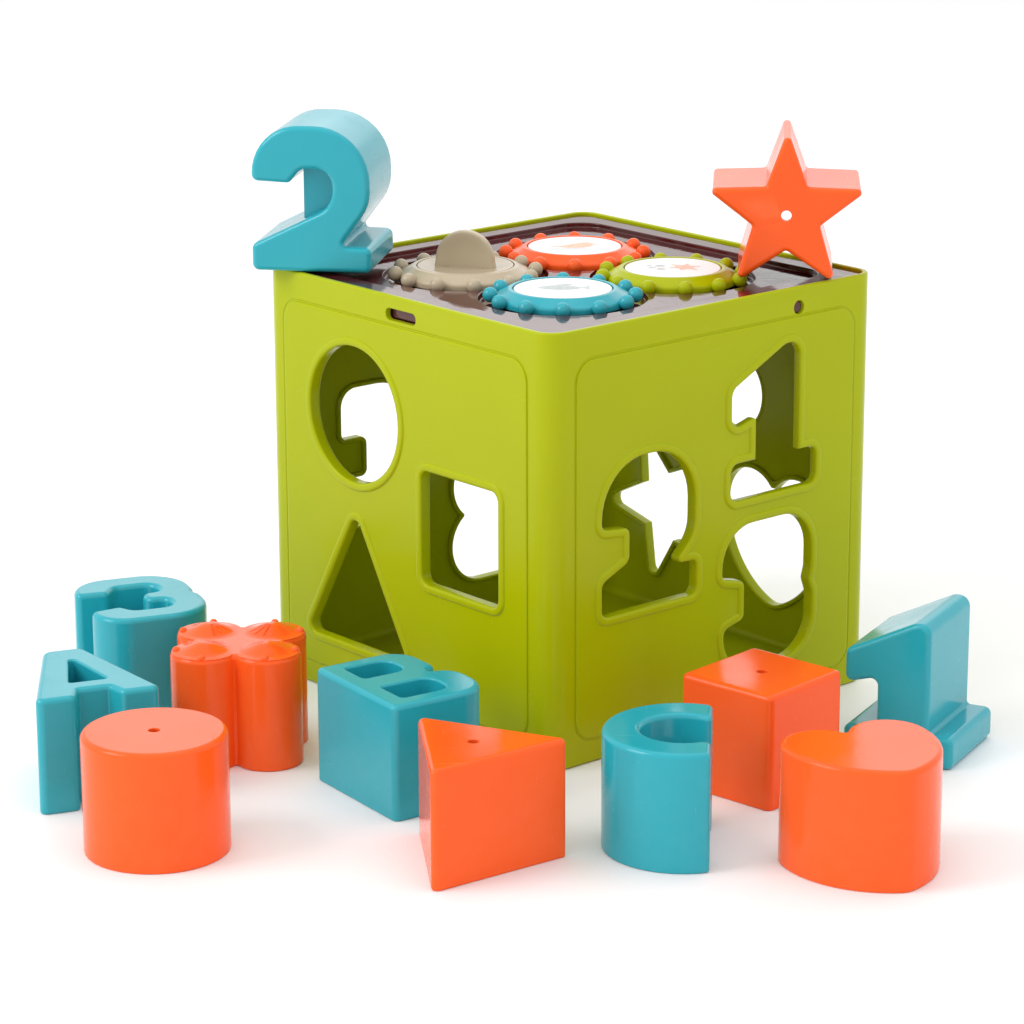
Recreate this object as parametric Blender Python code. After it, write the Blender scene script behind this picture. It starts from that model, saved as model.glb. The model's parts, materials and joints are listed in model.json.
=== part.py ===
"""Shape sorter cube: a box with twelve rimmed cut-outs, a pivoting lid with four knob gears
that drive each other, and twelve hollow blocks.

World frame: the origin is the middle of the box's underside, +Z is up, -Y is the latch side.
Sizes are in millimetres and become metres when a mesh is made.
"""
import math

import bmesh
import bpy
from mathutils import Matrix, Vector

MM = 0.001
GAP = 0.3                       # air left between neighbouring pieces

# Box
BOX_HALF = 80.0                 # half of the outer width
BOX_HEIGHT = 157.0
BOX_CORNER = 8.5                # radius of the upright corners
WALL = 2.2
FLOOR = 2.5
PANEL_HALF = 68.0               # raised field on each face
PANEL_LOW = 9.0
PANEL_HIGH = 146.0
PANEL_RAISE = 0.4
HOLE_PLAY = 1.15                # room round a block in its cut-out
FLOWER_PLAY = 2.5               # the flower's cut-out is the loosest
BEAD_WIDTH = 3.0                # raised rim round each cut-out
BEAD_RAISE = 1.2
FLANGE_WIDTH = 2.0              # the rim's wall, which runs inwards past the box wall
FLANGE_DEPTH = 3.8
FLANGE_SHORT = 2.6              # where the lid's rear part swings past

# Lid
LID_GAP = 0.9
LID_HALF = BOX_HALF - WALL - LID_GAP
LID_CORNER = 5.2
LID_TOP = BOX_HEIGHT - 1.0      # outer band
LID_FIELD = LID_TOP - 1.9       # inner field
LID_FIELD_HALF = 68.0
LID_FIELD_CORNER = 12.0
LID_UNDER = 149.8
LID_SKIRT_LOW = 143.5
LID_SKIRT = 2.2
HINGE_Y = 39.5                  # the lid pivots a quarter of the way in from the rear edge
HINGE_Z = 149.4
PIN_RADIUS = 2.2
LATCH_HALF = 8.3
LATCH_Z = 150.2
LATCH_HEIGHT = 4.2

# Gears
GEAR_PLACE = 27.0               # distance of each gear's axis from the middle, along X and Y
WELL_RADIUS = 30.3              # scalloped well round each gear
WELL_FLOOR = 151.9
GEAR_RADIUS = 24.4
GEAR_LOW = WELL_FLOOR + 0.6
GEAR_SHOULDER = 155.0
GEAR_TOP = BOX_HEIGHT + 0.7
KNOBS = 12
KNOB_ORBIT = 26.0
KNOB_RADIUS = 2.8
KNOB_Z = 155.0
KNOB_TURN = 18.33               # where the first knob of the teal gear points, degrees
POST_RADIUS = 3.2
POST_TOP = GEAR_LOW + 2.0
POST_LOW = 144.5
DISC_RADIUS = 17.7
DISC_LOW = 156.2
DISC_TOP = 157.5
SCREW_RADIUS = 1.1
SCREW_HEAD = 5.2
GRIP_TURN = -56.0               # which way the grip on the taupe dial faces, degrees
GRIP_LENGTH = 22.0
GRIP_HEIGHT = 13.0
GRIP_THICKNESS = 4.0

# Blocks
BLOCK_DEPTH = 41.0
BLOCK_WALL = 2.2
BLOCK_EDGE = 1.4                # rounding round the face
COUNTER_DEPTH = 10.0
RIB = 1.8                       # walls and floors inside a block
VENT_RADIUS = 2.1               # hole in the middle of the plain shapes' faces

GREEN = (0.50, 0.55, 0.01)
TEAL = (0.04, 0.40, 0.47)
ORANGE = (1.0, 0.13, 0.03)
PLUM = (0.055, 0.012, 0.02)
TAUPE = (0.42, 0.34, 0.23)
WHITE = (0.85, 0.83, 0.80)
STEEL = (0.55, 0.55, 0.55)


# ---------------------------------------------------------------- outlines

def arc(cx, cy, radius, start, end, steps):
    """Points on an arc, angles in degrees."""
    points = []
    for i in range(steps + 1):
        angle = math.radians(start + (end - start) * i / steps)
        points.append((cx + radius * math.cos(angle), cy + radius * math.sin(angle)))
    return points


def rounded(corners, grow=0.0, turn=42.0):
    """Closed outline from anticlockwise (x, y, radius) corners, moved outwards by grow."""
    points = []
    count = len(corners)
    for i, (x, y, radius) in enumerate(corners):
        here = Vector((x, y))
        come = (here - Vector(corners[i - 1][:2])).normalized()
        leave = (Vector(corners[(i + 1) % count][:2]) - here).normalized()
        side = Vector((come.y + leave.y, -come.x - leave.x)) / (1 + come.dot(leave))
        bend = math.atan2(come.x * leave.y - come.y * leave.x, come.dot(leave))
        way = math.copysign(1.0, bend)
        size = max(0.2, radius + grow * way)
        corner = here + side * grow
        middle = corner - side * size * way
        first = math.degrees(math.atan2(-come.x * way, come.y * way))
        steps = max(2, round(abs(math.degrees(bend)) / turn))
        points += arc(middle.x, middle.y, size, first, first + math.degrees(bend), steps)
    return points


def shrunk(points, distance):
    """The outline moved inwards by distance."""
    moved = []
    count = len(points)
    for i, point in enumerate(points):
        here = Vector(point)
        come = (here - Vector(points[i - 1])).normalized()
        leave = (Vector(points[(i + 1) % count]) - here).normalized()
        side = Vector((come.y + leave.y, -come.x - leave.x)) / (1 + come.dot(leave))
        moved.append(tuple(here - side * distance))
    return moved


def square(half, corner, grow=0.0):
    return rounded([(-half, -half, corner), (half, -half, corner), (half, half, corner),
                    (-half, half, corner)], grow)


def rectangle(half_x, half_y, corner, grow=0.0):
    return rounded([(-half_x, -half_y, corner), (half_x, -half_y, corner), (half_x, half_y, corner),
                    (-half_x, half_y, corner)], grow)


def round_outline(radius, steps=24):
    return arc(0, 0, radius, 0, 360 - 360 / steps, steps - 1)


def spiked(sides, outer, corner, start, inner=None):
    """Corners of a regular polygon, or of a star when inner is given."""
    corners = []
    for i in range(sides):
        angle = math.radians(start + 360 * i / sides)
        corners.append((outer * math.cos(angle), outer * math.sin(angle), corner))
        if inner:
            angle += math.pi / sides
            corners.append((inner * math.cos(angle), inner * math.sin(angle), 1.5))
    return corners


ONE = [(-20.5, -26.0, 2.5), (20.5, -26.0, 2.5), (20.5, -14.5, 2.5), (11.3, -14.5, 1.5), (11.3, 26.0, 4.0),
       (5.5, 26.0, 6.0), (-20.3, 13.2, 3.0), (-20.3, 0.8, 2.5), (-8.2, 4.2, 2.5), (-8.2, -14.5, 1.5),
       (-20.5, -14.5, 2.5)]

TWO = [(-22.2, -27.4, 2.5), (22.2, -27.4, 2.5), (22.2, -18.0, 2.5), (10.6, -17.8, 1.5), (21.9, -2.5, 16.0),
       (21.9, 26.2, 20.5), (-21.9, 26.2, 17.8), (-21.9, 5.7, 2.5), (-8.0, 5.2, 2.5), (-3.5, 10.6, 5.0),
       (8.1, 10.6, 6.5), (8.1, -3.0, 9.0), (-22.2, -17.8, 3.0)]
TWO_HOLE = [(-22.7, -27.9, 2.8), (22.8, -27.9, 2.8), (22.8, -15.2, 2.5), (12.0, -14.6, 1.5),
            (21.8, -5.0, 12.5), (21.8, 28.0, 20.5), (-22.8, 28.0, 20.5), (-22.8, 4.2, 2.5),
            (-9.8, 2.8, 2.5), (-9.8, -9.5, 4.0), (-22.7, -15.4, 3.0)]

THREE = [(-21.3, -26.4, 12.3), (21.9, -26.4, 17.0), (21.9, -3.0, 7.0), (19.8, 0.2, 2.5), (21.2, 3.4, 7.0),
         (21.2, 26.4, 17.0), (-21.5, 26.4, 14.3), (-21.5, 9.5, 2.5), (-10.0, 8.8, 2.5), (-6.0, 14.8, 4.0),
         (9.0, 14.8, 5.0), (9.0, 4.6, 3.5), (1.4, 4.0, 3.4), (1.4, -4.0, 3.4), (9.0, -4.6, 3.5),
         (9.0, -15.0, 5.0), (-6.0, -15.0, 4.0), (-10.0, -9.0, 2.5), (-21.3, -11.3, 2.5)]
THREE_HOLE = [(-21.9, -27.4, 14.0), (23.1, -27.4, 15.0), (23.1, -5.0, 6.0), (21.2, 0.0, 3.0),
              (22.5, 4.5, 6.0), (22.5, 27.4, 15.0), (-22.9, 27.4, 15.0), (-22.9, 8.8, 2.5),
              (-11.8, 6.2, 3.0), (-11.8, -8.2, 3.0), (-21.9, -10.6, 3.0)]

LETTER_A = [(-22.0, -26.0, 2.5), (-8.2, -26.0, 2.5), (-5.4, -18.5, 1.5), (5.4, -18.5, 1.5),
            (8.2, -26.0, 2.5), (22.0, -26.0, 2.5), (7.0, 26.0, 4.0), (-7.0, 26.0, 4.0)]
COUNTER_A = [(-6.8, -11.0, 1.2), (6.8, -11.0, 1.2), (0.0, 17.0, 1.2)]

LETTER_B = [(-19.8, -26.0, 2.5), (19.8, -26.0, 12.0), (19.8, -2.0, 9.0), (9.0, 1.2, 1.2),
            (16.0, 4.0, 4.0), (16.0, 25.5, 10.5), (-19.8, 25.5, 2.5)]
COUNTER_B_LOW = [(-12.0, -19.0, 1.5), (7.5, -19.0, 5.0), (7.5, -5.0, 5.0), (-12.0, -5.0, 1.5)]
COUNTER_B_HIGH = [(-12.0, 5.5, 1.5), (5.5, 5.5, 5.0), (5.5, 19.0, 5.0), (-12.0, 19.0, 1.5)]

LETTER_C_HOLE = [(-20.4, -27.4, 24.0), (20.4, -27.4, 7.0), (20.4, -7.9, 2.5), (8.3, -7.9, 3.0),
                 (8.3, 7.9, 3.0), (20.4, 7.9, 2.5), (20.4, 27.4, 7.0), (-20.4, 27.4, 24.0)]

TRIANGLE = spiked(3, 32.0, 2.0, 90)
STAR = spiked(5, 31.2, 1.6, 90, inner=12.8)
QUAD = [(-19.9, -19.9, 2.5), (19.9, -19.9, 2.5), (19.9, 19.9, 2.5), (-19.9, 19.9, 2.5)]


def heart(grow=0.0):
    """Two round lobes, full flanks and a blunt tip, all in arcs that meet smoothly."""
    if grow < 0:
        return shrunk(heart(), -grow)
    lobe_x = 12.4
    notch = math.degrees(math.acos(-lobe_x / (13.5 + grow))) - 14
    tip = arc(0, -17.15, 8.0 + grow, -110.9, -69.1, 2)
    flank = arc(-10.0, 9.0, 36.0 + grow, -69.1, 5.0, 4)
    lobe = arc(lobe_x, 11.0, 13.5 + grow, 5.0, notch, 5)
    right = flank[1:] + lobe[1:]
    return tip + right + [(-x, y) for x, y in reversed(right)]


def flower(grow=0.0):
    """Four round petals."""
    if grow < 0:
        return shrunk(flower(), -grow)
    place = 11.0
    petal = 12.0 + grow
    side = math.degrees(math.acos(-place / petal)) - 6 - 45
    points = []
    for i in range(4):
        turn = 45 + 90 * i
        x = place * math.sqrt(2) * math.cos(math.radians(turn))
        y = place * math.sqrt(2) * math.sin(math.radians(turn))
        points += arc(x, y, petal, turn - side, turn + side, 6)
    return points


def letter_c(grow=0.0):
    """Ring between two circles on one centre, cut off by an upright line."""
    middle = 9.0
    outer = 26.4 + grow
    inner = 13.5 - grow
    cut = 9.8 + grow
    wide = math.degrees(math.acos(cut / outer))
    narrow = math.degrees(math.acos(cut / inner))
    return arc(middle, 0, outer, wide, 360 - wide, 12) + arc(middle, 0, inner, 360 - narrow, narrow, 8)


def letter_b_hole(grow=0.0):
    """Straight back with two round bowls that meet in a waist."""
    bowl = 13.75 + grow
    lean = math.degrees(math.atan2(0.9, 24.5))
    reach = math.degrees(math.acos(12.26 / bowl)) + 3
    low = arc(5.9, -12.1, bowl, -90, 90 + lean - reach, 6)
    high = arc(5.0, 12.4, bowl, lean + reach - 90, 90, 6)
    corner = 2.5 + grow
    return low + high + arc(-17.3, 23.65, corner, 90, 180, 2) + arc(-17.3, -23.35, corner, 180, 270, 2)


def disc(grow=0.0):
    return round_outline(24.2 + grow)


def outline(shape, grow=0.0):
    """A shape is a list of rounded corners or a function of how far it is moved outwards."""
    if callable(shape):
        return shape(grow)
    return rounded(shape, grow)


# ---------------------------------------------------------------- solids

def loft(bm, rings, frame=None):
    """Closed solid through the rings, given as (outline, height); both ends are capped."""
    loops = []
    for points, height in rings:
        ring = [Vector((x, y, height)) for x, y in points]
        if frame:
            ring = [frame @ point for point in ring]
        loops.append([bm.verts.new(point * MM) for point in ring])
    for low, high in zip(loops, loops[1:]):
        for i in range(len(low)):
            j = (i + 1) % len(low)
            bm.faces.new((low[i], low[j], high[j], high[i]))
    bm.faces.new(list(reversed(loops[0])))
    bm.faces.new(loops[-1])


def lathe(bm, profile, steps=20, frame=None):
    """Solid of revolution about Z from a closed (radius, height) profile; radius 0 is a pole."""
    frame = frame or Matrix()
    rows = []
    for radius, height in profile:
        if radius == 0:
            rows.append([bm.verts.new(frame @ Vector((0, 0, height)) * MM)] * steps)
        else:
            rows.append([bm.verts.new(frame @ Vector((x, y, height)) * MM)
                         for x, y in round_outline(radius, steps)])
    pairs = list(zip(rows, rows[1:]))
    if profile[0][0] > 0:
        pairs.append((rows[-1], rows[0]))
    for low, high in pairs:
        for i in range(steps):
            j = (i + 1) % steps
            corners = []
            for vert in (low[i], low[j], high[j], high[i]):
                if vert not in corners:
                    corners.append(vert)
            bm.faces.new(corners)


def new_piece(name, bm, origin=(0, 0, 0), turn=None, material=None, smooth=35):
    """Object from a bmesh in metres about its own origin, given in millimetres."""
    bmesh.ops.recalc_face_normals(bm, faces=bm.faces)
    mesh = bpy.data.meshes.new(name)
    bm.to_mesh(mesh)
    bm.free()
    piece = bpy.data.objects.new(name, mesh)
    bpy.context.scene.collection.objects.link(piece)
    matrix = Matrix.Translation(Vector(origin) * MM)
    piece.matrix_world = matrix @ turn.to_4x4() if turn else matrix
    if material:
        mesh.materials.append(material)
    shade(mesh, smooth)
    return piece


def shade(mesh, smooth):
    mesh.shade_smooth()
    mesh.set_sharp_from_angle(angle=math.radians(smooth))


def combine(piece, bm, operation, smooth=35):
    """Join a bmesh to a piece or take it away; it is built about the piece's own origin."""
    tool = new_piece("tool", bm)
    tool.matrix_world = piece.matrix_world
    bpy.context.view_layer.update()
    modifier = piece.modifiers.new(operation.title(), "BOOLEAN")
    modifier.operation = operation
    modifier.solver = "EXACT"
    modifier.object = tool
    graph = bpy.context.evaluated_depsgraph_get()
    result = bpy.data.meshes.new_from_object(piece.evaluated_get(graph))
    piece.modifiers.clear()
    old = piece.data
    piece.data = result
    bpy.data.meshes.remove(old)
    result.name = piece.name
    bpy.data.objects.remove(tool)
    clean(result)
    shade(result, smooth)


def clean(mesh):
    """Weld the slivers that a boolean can leave."""
    bm = bmesh.new()
    bm.from_mesh(mesh)
    bmesh.ops.remove_doubles(bm, verts=bm.verts, dist=0.00002)
    bmesh.ops.dissolve_degenerate(bm, edges=bm.edges, dist=0.00001)
    bm.to_mesh(mesh)
    bm.free()


def plastic(name, colour, roughness=0.25, metallic=0.0):
    material = bpy.data.materials.new(name)
    material.use_nodes = True
    shader = material.node_tree.nodes["Principled BSDF"]
    shader.inputs["Base Color"].default_value = (*colour, 1.0)
    shader.inputs["Roughness"].default_value = roughness
    shader.inputs["Metallic"].default_value = metallic
    return material


# ---------------------------------------------------------------- box

def face_frame(side, middle, turn=0.0):
    """Frame on a wall: X to the right seen from outside, Y up, Z outwards from the wall's face."""
    angle = {"front": 0, "right": 90, "back": 180, "left": 270}[side]
    upright = Matrix(((1, 0, 0), (0, 0, -1), (0, 1, 0))).to_4x4()
    wall = Matrix.Rotation(math.radians(angle), 4, "Z") @ Matrix.Translation((0, -BOX_HALF, 0)) @ upright
    spin = Matrix.Rotation(math.radians(turn), 4, "Z")
    return wall @ Matrix.Translation((middle[0], middle[1], 0)) @ spin


CUTOUTS = [
    ("front", disc, HOLE_PLAY, (-26.8, 109.6), 0, FLANGE_DEPTH),
    ("front", QUAD, HOLE_PLAY, (32.4, 75.5), 0, FLANGE_DEPTH),
    ("front", TRIANGLE, HOLE_PLAY, (-26.5, 38.4), 0, FLANGE_DEPTH),
    ("right", ONE, HOLE_PLAY, (27.3, 110.1), 0, FLANGE_SHORT),
    ("right", TWO_HOLE, 0.0, (-33.7, 80.2), 0, FLANGE_DEPTH),
    ("right", THREE_HOLE, 0.0, (25.0, 46.0), 0, FLANGE_DEPTH),
    ("back", flower, FLOWER_PLAY, (2.0, 110.5), 0, FLANGE_SHORT),
    ("back", STAR, HOLE_PLAY, (29.5, 45.4), -96, FLANGE_DEPTH),
    ("back", heart, HOLE_PLAY, (-31.5, 45.0), 0, FLANGE_DEPTH),
    ("left", LETTER_A, HOLE_PLAY, (-27.0, 110.0), 0, FLANGE_SHORT),
    ("left", letter_b_hole, HOLE_PLAY, (-28.0, 43.0), 0, FLANGE_DEPTH),
    ("left", LETTER_C_HOLE, 0.0, (27.0, 76.5), 0, FLANGE_DEPTH),
]


def make_box():
    bm = bmesh.new()
    half = BOX_HALF
    inner = half - WALL
    inner_corner = BOX_CORNER - WALL
    loft(bm, [
        (square(half - 1.0, BOX_CORNER - 1.0), 0.0),
        (square(half, BOX_CORNER), 1.0),
        (square(half, BOX_CORNER), BOX_HEIGHT - 0.6),
        (square(half - 0.6, BOX_CORNER - 0.6), BOX_HEIGHT),
        (square(inner + 0.4, inner_corner + 0.4), BOX_HEIGHT),
        (square(inner, inner_corner), BOX_HEIGHT - 0.5),
        (square(inner, inner_corner), FLOOR),
    ])
    box = new_piece("box_body", bm, material=plastic("box_green", GREEN))
    panels = bmesh.new()
    middle = (0, (PANEL_LOW + PANEL_HIGH) / 2)
    tall = (PANEL_HIGH - PANEL_LOW) / 2
    for side in ("front", "right", "back", "left"):
        panel = rectangle(PANEL_HALF, tall, 8.0)
        loft(panels, [(panel, -1.0), (panel, 0.1), (rectangle(PANEL_HALF, tall, 8.0, -0.3), PANEL_RAISE)],
             face_frame(side, middle))
    combine(box, panels, "UNION")
    for side, shape, play, place, turn, depth in CUTOUTS:
        frame = face_frame(side, place, turn)
        wide = play + BEAD_WIDTH
        rim = bmesh.new()
        loft(rim, [(outline(shape, play + FLANGE_WIDTH), -depth), (outline(shape, wide), BEAD_RAISE - 0.5),
                   (outline(shape, wide - 0.9), BEAD_RAISE)], frame)
        combine(box, rim, "UNION")
        hole = bmesh.new()
        loft(hole, [(outline(shape, play), -8.0), (outline(shape, play), 4.0)], frame)
        combine(box, hole, "DIFFERENCE")
    holes = bmesh.new()
    loft(holes, [(rectangle(LATCH_HALF, LATCH_HEIGHT / 2, 1.6), -4.0),
                 (rectangle(LATCH_HALF, LATCH_HEIGHT / 2, 1.6), 4.0)], face_frame("front", (0, LATCH_Z)))
    for side, place in (("right", HINGE_Y), ("left", -HINGE_Y)):
        bore = round_outline(PIN_RADIUS + GAP, 16)
        loft(holes, [(bore, -4.0), (bore, 4.0)], face_frame(side, (place, HINGE_Z)))
    combine(box, holes, "DIFFERENCE")
    return box


# ---------------------------------------------------------------- lid

def make_lid(hinge):
    """The lid about its own hinge line."""
    shift = Matrix.Translation((0, -HINGE_Y, -HINGE_Z))
    bm = bmesh.new()
    outer = square(LID_HALF, LID_CORNER)
    skirt = square(LID_HALF - LID_SKIRT, LID_CORNER - LID_SKIRT)
    loft(bm, [
        (skirt, LID_UNDER),
        (skirt, LID_SKIRT_LOW),
        (outer, LID_SKIRT_LOW),
        (outer, LID_TOP - 0.8),
        (square(LID_HALF - 0.8, LID_CORNER - 0.8), LID_TOP),
    ], shift)
    lid = new_piece("lid_top", bm, hinge.location / MM, material=plastic("lid_plum", PLUM, 0.12))
    added = bmesh.new()
    sideways = Matrix.Rotation(math.radians(90), 4, "Y")
    for way in (-1, 1):
        boss = Matrix.Translation((way * (LID_HALF - LID_SKIRT - 1.0), 0, 0)) @ sideways
        loft(added, [(round_outline(4.6, 16), -1.8), (round_outline(4.6, 16), 1.8)], boss)
    combine(lid, added, "UNION")
    taken = bmesh.new()
    loft(taken, [(square(LID_FIELD_HALF, LID_FIELD_CORNER, -0.4), LID_FIELD),
                 (square(LID_FIELD_HALF, LID_FIELD_CORNER, 0.4), LID_TOP + 0.4)], shift)
    combine(lid, taken, "DIFFERENCE")
    for x, y in gear_places():
        place = shift @ Matrix.Translation((x, y, 0))
        taken = bmesh.new()
        well = round_outline(WELL_RADIUS, 28)
        loft(taken, [(well, WELL_FLOOR), (well, LID_TOP)], place)
        combine(lid, taken, "DIFFERENCE")
    posts = bmesh.new()
    bores = bmesh.new()
    for x, y in gear_places():
        place = shift @ Matrix.Translation((x, y, 0))
        loft(posts, [(round_outline(POST_RADIUS, 16), POST_LOW), (round_outline(POST_RADIUS, 16), POST_TOP)],
             place)
        loft(bores, [(round_outline(SCREW_RADIUS + GAP, 12), POST_LOW + 1.5),
                     (round_outline(SCREW_RADIUS + GAP, 12), POST_TOP + 1.0)], place)
    combine(lid, posts, "UNION")
    for way in (-1, 1):
        bore = round_outline(PIN_RADIUS + GAP, 16)
        loft(bores, [(bore, -6.0), (bore, 6.0)],
             Matrix.Translation((way * (LID_HALF - LID_SKIRT), 0, 0)) @ sideways)
    combine(lid, bores, "DIFFERENCE")
    pocket = bmesh.new()
    front = shift @ Matrix.Translation((0, -LID_HALF, 0))
    loft(pocket, [(rectangle(LATCH_HALF - 0.3, 3.5, 0.3), LATCH_Z - LATCH_HEIGHT / 2),
                  (rectangle(LATCH_HALF - 0.3, 3.5, 0.3), LATCH_Z + LATCH_HEIGHT / 2)], front)
    combine(lid, pocket, "DIFFERENCE")
    pocket = bmesh.new()
    room = front @ Matrix.Translation((0, LID_SKIRT + 3.6, 0))
    loft(pocket, [(rectangle(LATCH_HALF + 2.4, 3.2, 0.3), LID_SKIRT_LOW + 2.0),
                  (rectangle(LATCH_HALF + 2.4, 3.2, 0.3), LATCH_Z + LATCH_HEIGHT / 2)], room)
    combine(lid, pocket, "DIFFERENCE")
    return lid


def make_pins():
    plum = plastic("pin_plastic", PLUM)
    pins = []
    for name, way in (("hinge_pin_left", -1), ("hinge_pin_right", 1)):
        bm = bmesh.new()
        frame = Matrix.Rotation(math.radians(90), 4, "Y")
        radius = PIN_RADIUS
        loft(bm, [(round_outline(radius - 0.4, 16), -3.6), (round_outline(radius, 16), -3.2),
                  (round_outline(radius, 16), 3.2), (round_outline(radius - 0.4, 16), 3.6)], frame)
        pins.append(new_piece(name, bm, (way * 75.4, HINGE_Y, HINGE_Z), material=plum))
    return pins


def make_latch():
    """Tongue that shows in the slot, with a wider foot behind the lid's skirt."""
    low = -LATCH_HEIGHT / 2 + 0.3
    high = LATCH_HEIGHT / 2 - 0.3
    bm = bmesh.new()
    foot = LATCH_HALF + 1.8
    tongue = LATCH_HALF - 0.7
    shape = [(-tongue, 0.0, 0.6), (tongue, 0.0, 0.6), (tongue, 3.3, 0.2), (foot, 3.3, 0.4), (foot, 5.2, 0.4),
             (-foot, 5.2, 0.4), (-foot, 3.3, 0.4), (-tongue, 3.3, 0.2)]
    loft(bm, [(rounded(shape, 0, 45), low), (rounded(shape, 0, 45), high)])
    front = -(BOX_HALF - WALL - 0.4)
    return new_piece("latch_tab", bm, (0, front, LATCH_Z), material=plastic("latch_plum", PLUM, 0.2))


# ---------------------------------------------------------------- gears

def gear_places():
    place = GEAR_PLACE
    return [(-place, -place), (place, -place), (-place, place), (place, place)]


def make_ring(name, place, phase, colour):
    """Knobbed gear: a dished wheel on a bored hub."""
    bm = bmesh.new()
    rim = DISC_RADIUS + 0.35
    bore = POST_RADIUS + 0.4
    lathe(bm, [(bore, GEAR_LOW), (GEAR_RADIUS, GEAR_LOW), (GEAR_RADIUS, GEAR_SHOULDER),
               (rim + 1.1, GEAR_TOP), (rim, GEAR_TOP), (rim, DISC_LOW - 0.3),
               (SCREW_HEAD + 1.2, DISC_LOW - 0.3), (SCREW_HEAD + 1.2, GEAR_LOW + 1.7),
               (bore, GEAR_LOW + 1.7)])
    ring = new_piece(name, bm, (*place, 0), material=plastic(name + "_plastic", colour))
    knobs = bmesh.new()
    for i in range(KNOBS):
        angle = math.radians(phase + 360 * i / KNOBS)
        spot = (KNOB_ORBIT * math.cos(angle), KNOB_ORBIT * math.sin(angle), KNOB_Z)
        ball = Matrix.Translation(spot) @ Matrix.Rotation(angle, 4, "Z")
        profile = []
        for step in range(5):
            lean = math.radians(-90 + 45 * step)
            radius = KNOB_RADIUS * math.cos(lean) if 0 < step < 4 else 0
            profile.append((radius, KNOB_RADIUS * math.sin(lean)))
        lathe(knobs, profile, 6, ball)
    combine(ring, knobs, "UNION")
    return ring


def make_disc(name, place):
    bm = bmesh.new()
    edge = 0.3
    loft(bm, [(round_outline(DISC_RADIUS), DISC_LOW), (round_outline(DISC_RADIUS), DISC_TOP - edge),
              (round_outline(DISC_RADIUS - edge), DISC_TOP)])
    return new_piece(name, bm, (*place, 0), material=plastic(name + "_plastic", WHITE))


def make_grip(place):
    """Dished dial with an upright half-round grip."""
    bm = bmesh.new()
    edge = DISC_RADIUS
    lathe(bm, [(0, DISC_LOW), (edge, DISC_LOW), (edge, DISC_TOP), (edge - 1.0, GEAR_TOP),
               (edge - 2.5, DISC_TOP), (9.0, DISC_LOW + 0.7), (0, DISC_LOW + 0.6)], 24)
    turn = Matrix.Rotation(math.radians(GRIP_TURN + 90), 3, "Z")
    grip = new_piece("dial_grip", bm, (*place, 0), turn, plastic("dial_taupe", TAUPE))
    fin = bmesh.new()
    half = GRIP_LENGTH / 2
    low = DISC_LOW + 0.2
    rise = DISC_TOP + GRIP_HEIGHT - half - low
    upright = Matrix.Translation((0, 0, low)) @ Matrix.Rotation(math.radians(90), 4, "X")
    thick = GRIP_THICKNESS / 2

    def slab(shrink):
        return [(-half + shrink, 0), (half - shrink, 0)] + arc(0, rise, half - shrink, 0, 180, 12)

    loft(fin, [(slab(0.8), -thick), (slab(0), -thick + 0.8), (slab(0), thick - 0.8), (slab(0.8), thick)],
         upright)
    combine(grip, fin, "UNION")
    return grip


def make_screw(name, place, material):
    bm = bmesh.new()
    seat = POST_TOP + GAP
    lathe(bm, [(0, POST_LOW + 2.0), (SCREW_RADIUS, POST_LOW + 2.6), (SCREW_RADIUS, seat), (SCREW_HEAD, seat),
               (SCREW_HEAD, seat + 0.5), (SCREW_HEAD - 1.6, seat + 0.9), (0, seat + 0.9)], 16)
    return new_piece(name, bm, (*place, 0), material=material)


# ---------------------------------------------------------------- blocks

def make_block(name, shape, colour, matrix, pockets=(), bore=0.0, fill=None):
    """Hollow block moulded in one piece: a face and a wall round it, open at the back.

    fill closes a notch below the face: (left, right, half height, left side of its wall).
    """
    deep = BLOCK_DEPTH
    floor = deep - COUNTER_DEPTH
    inner = outline(shape, -BLOCK_WALL)
    bm = bmesh.new()
    loft(bm, [
        (inner, deep - BLOCK_WALL),
        (inner, 0.0),
        (outline(shape), 0.0),
        (outline(shape), deep - BLOCK_EDGE),
        (outline(shape, -0.4 * BLOCK_EDGE), deep - 0.25 * BLOCK_EDGE),
        (outline(shape, -BLOCK_EDGE), deep),
    ])
    block = new_piece(name, bm, material=plastic(name + "_plastic", colour))
    if fill:
        left, right, tall, wall = fill
        plate = (left, right, floor - RIB, floor)
        upright = (wall, wall + RIB, 0.5, floor - 1.0)
        for start, end, low, high in (plate, upright):
            rib = bmesh.new()
            corners = [(start, -tall, 0.4), (end, -tall, 0.4), (end, tall, 0.4), (start, tall, 0.4)]
            loft(rib, [(rounded(corners), low), (rounded(corners), high)])
            combine(block, rib, "UNION")
    if pockets:
        wells = bmesh.new()
        for corners in pockets:
            loft(wells, [(rounded(corners, RIB), floor - RIB), (rounded(corners, RIB), deep - 1.0)])
        combine(block, wells, "UNION")
    if pockets or bore:
        cores = bmesh.new()
        for corners in pockets:
            loft(cores, [(rounded(corners, -0.5), floor), (rounded(corners), deep - 1.0),
                         (rounded(corners), deep + 1.0)])
        if bore:
            loft(cores, [(round_outline(bore, 12), deep - 5.0), (round_outline(bore, 12), deep + 1.0)])
        combine(block, cores, "DIFFERENCE")
    block.matrix_world = matrix


def lying(x, y, right):
    """Matrix of a block on its back; right is the azimuth of its own right-hand side."""
    return Matrix.Translation(Vector((x, y, 0)) * MM) @ Matrix.Rotation(math.radians(right), 4, "Z")


def standing(x, y, low, facing, foot):
    """Matrix of a block on edge: x, y is the foot of its face, facing the azimuth it looks to."""
    upright = Matrix(((1, 0, 0), (0, 0, -1), (0, 1, 0))).to_4x4()
    turn = Matrix.Rotation(math.radians(facing + 90), 4, "Z")
    spot = Vector((x, y, low + foot)) * MM
    return Matrix.Translation(spot) @ turn @ upright @ Matrix.Translation((0, 0, -BLOCK_DEPTH * MM))


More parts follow.
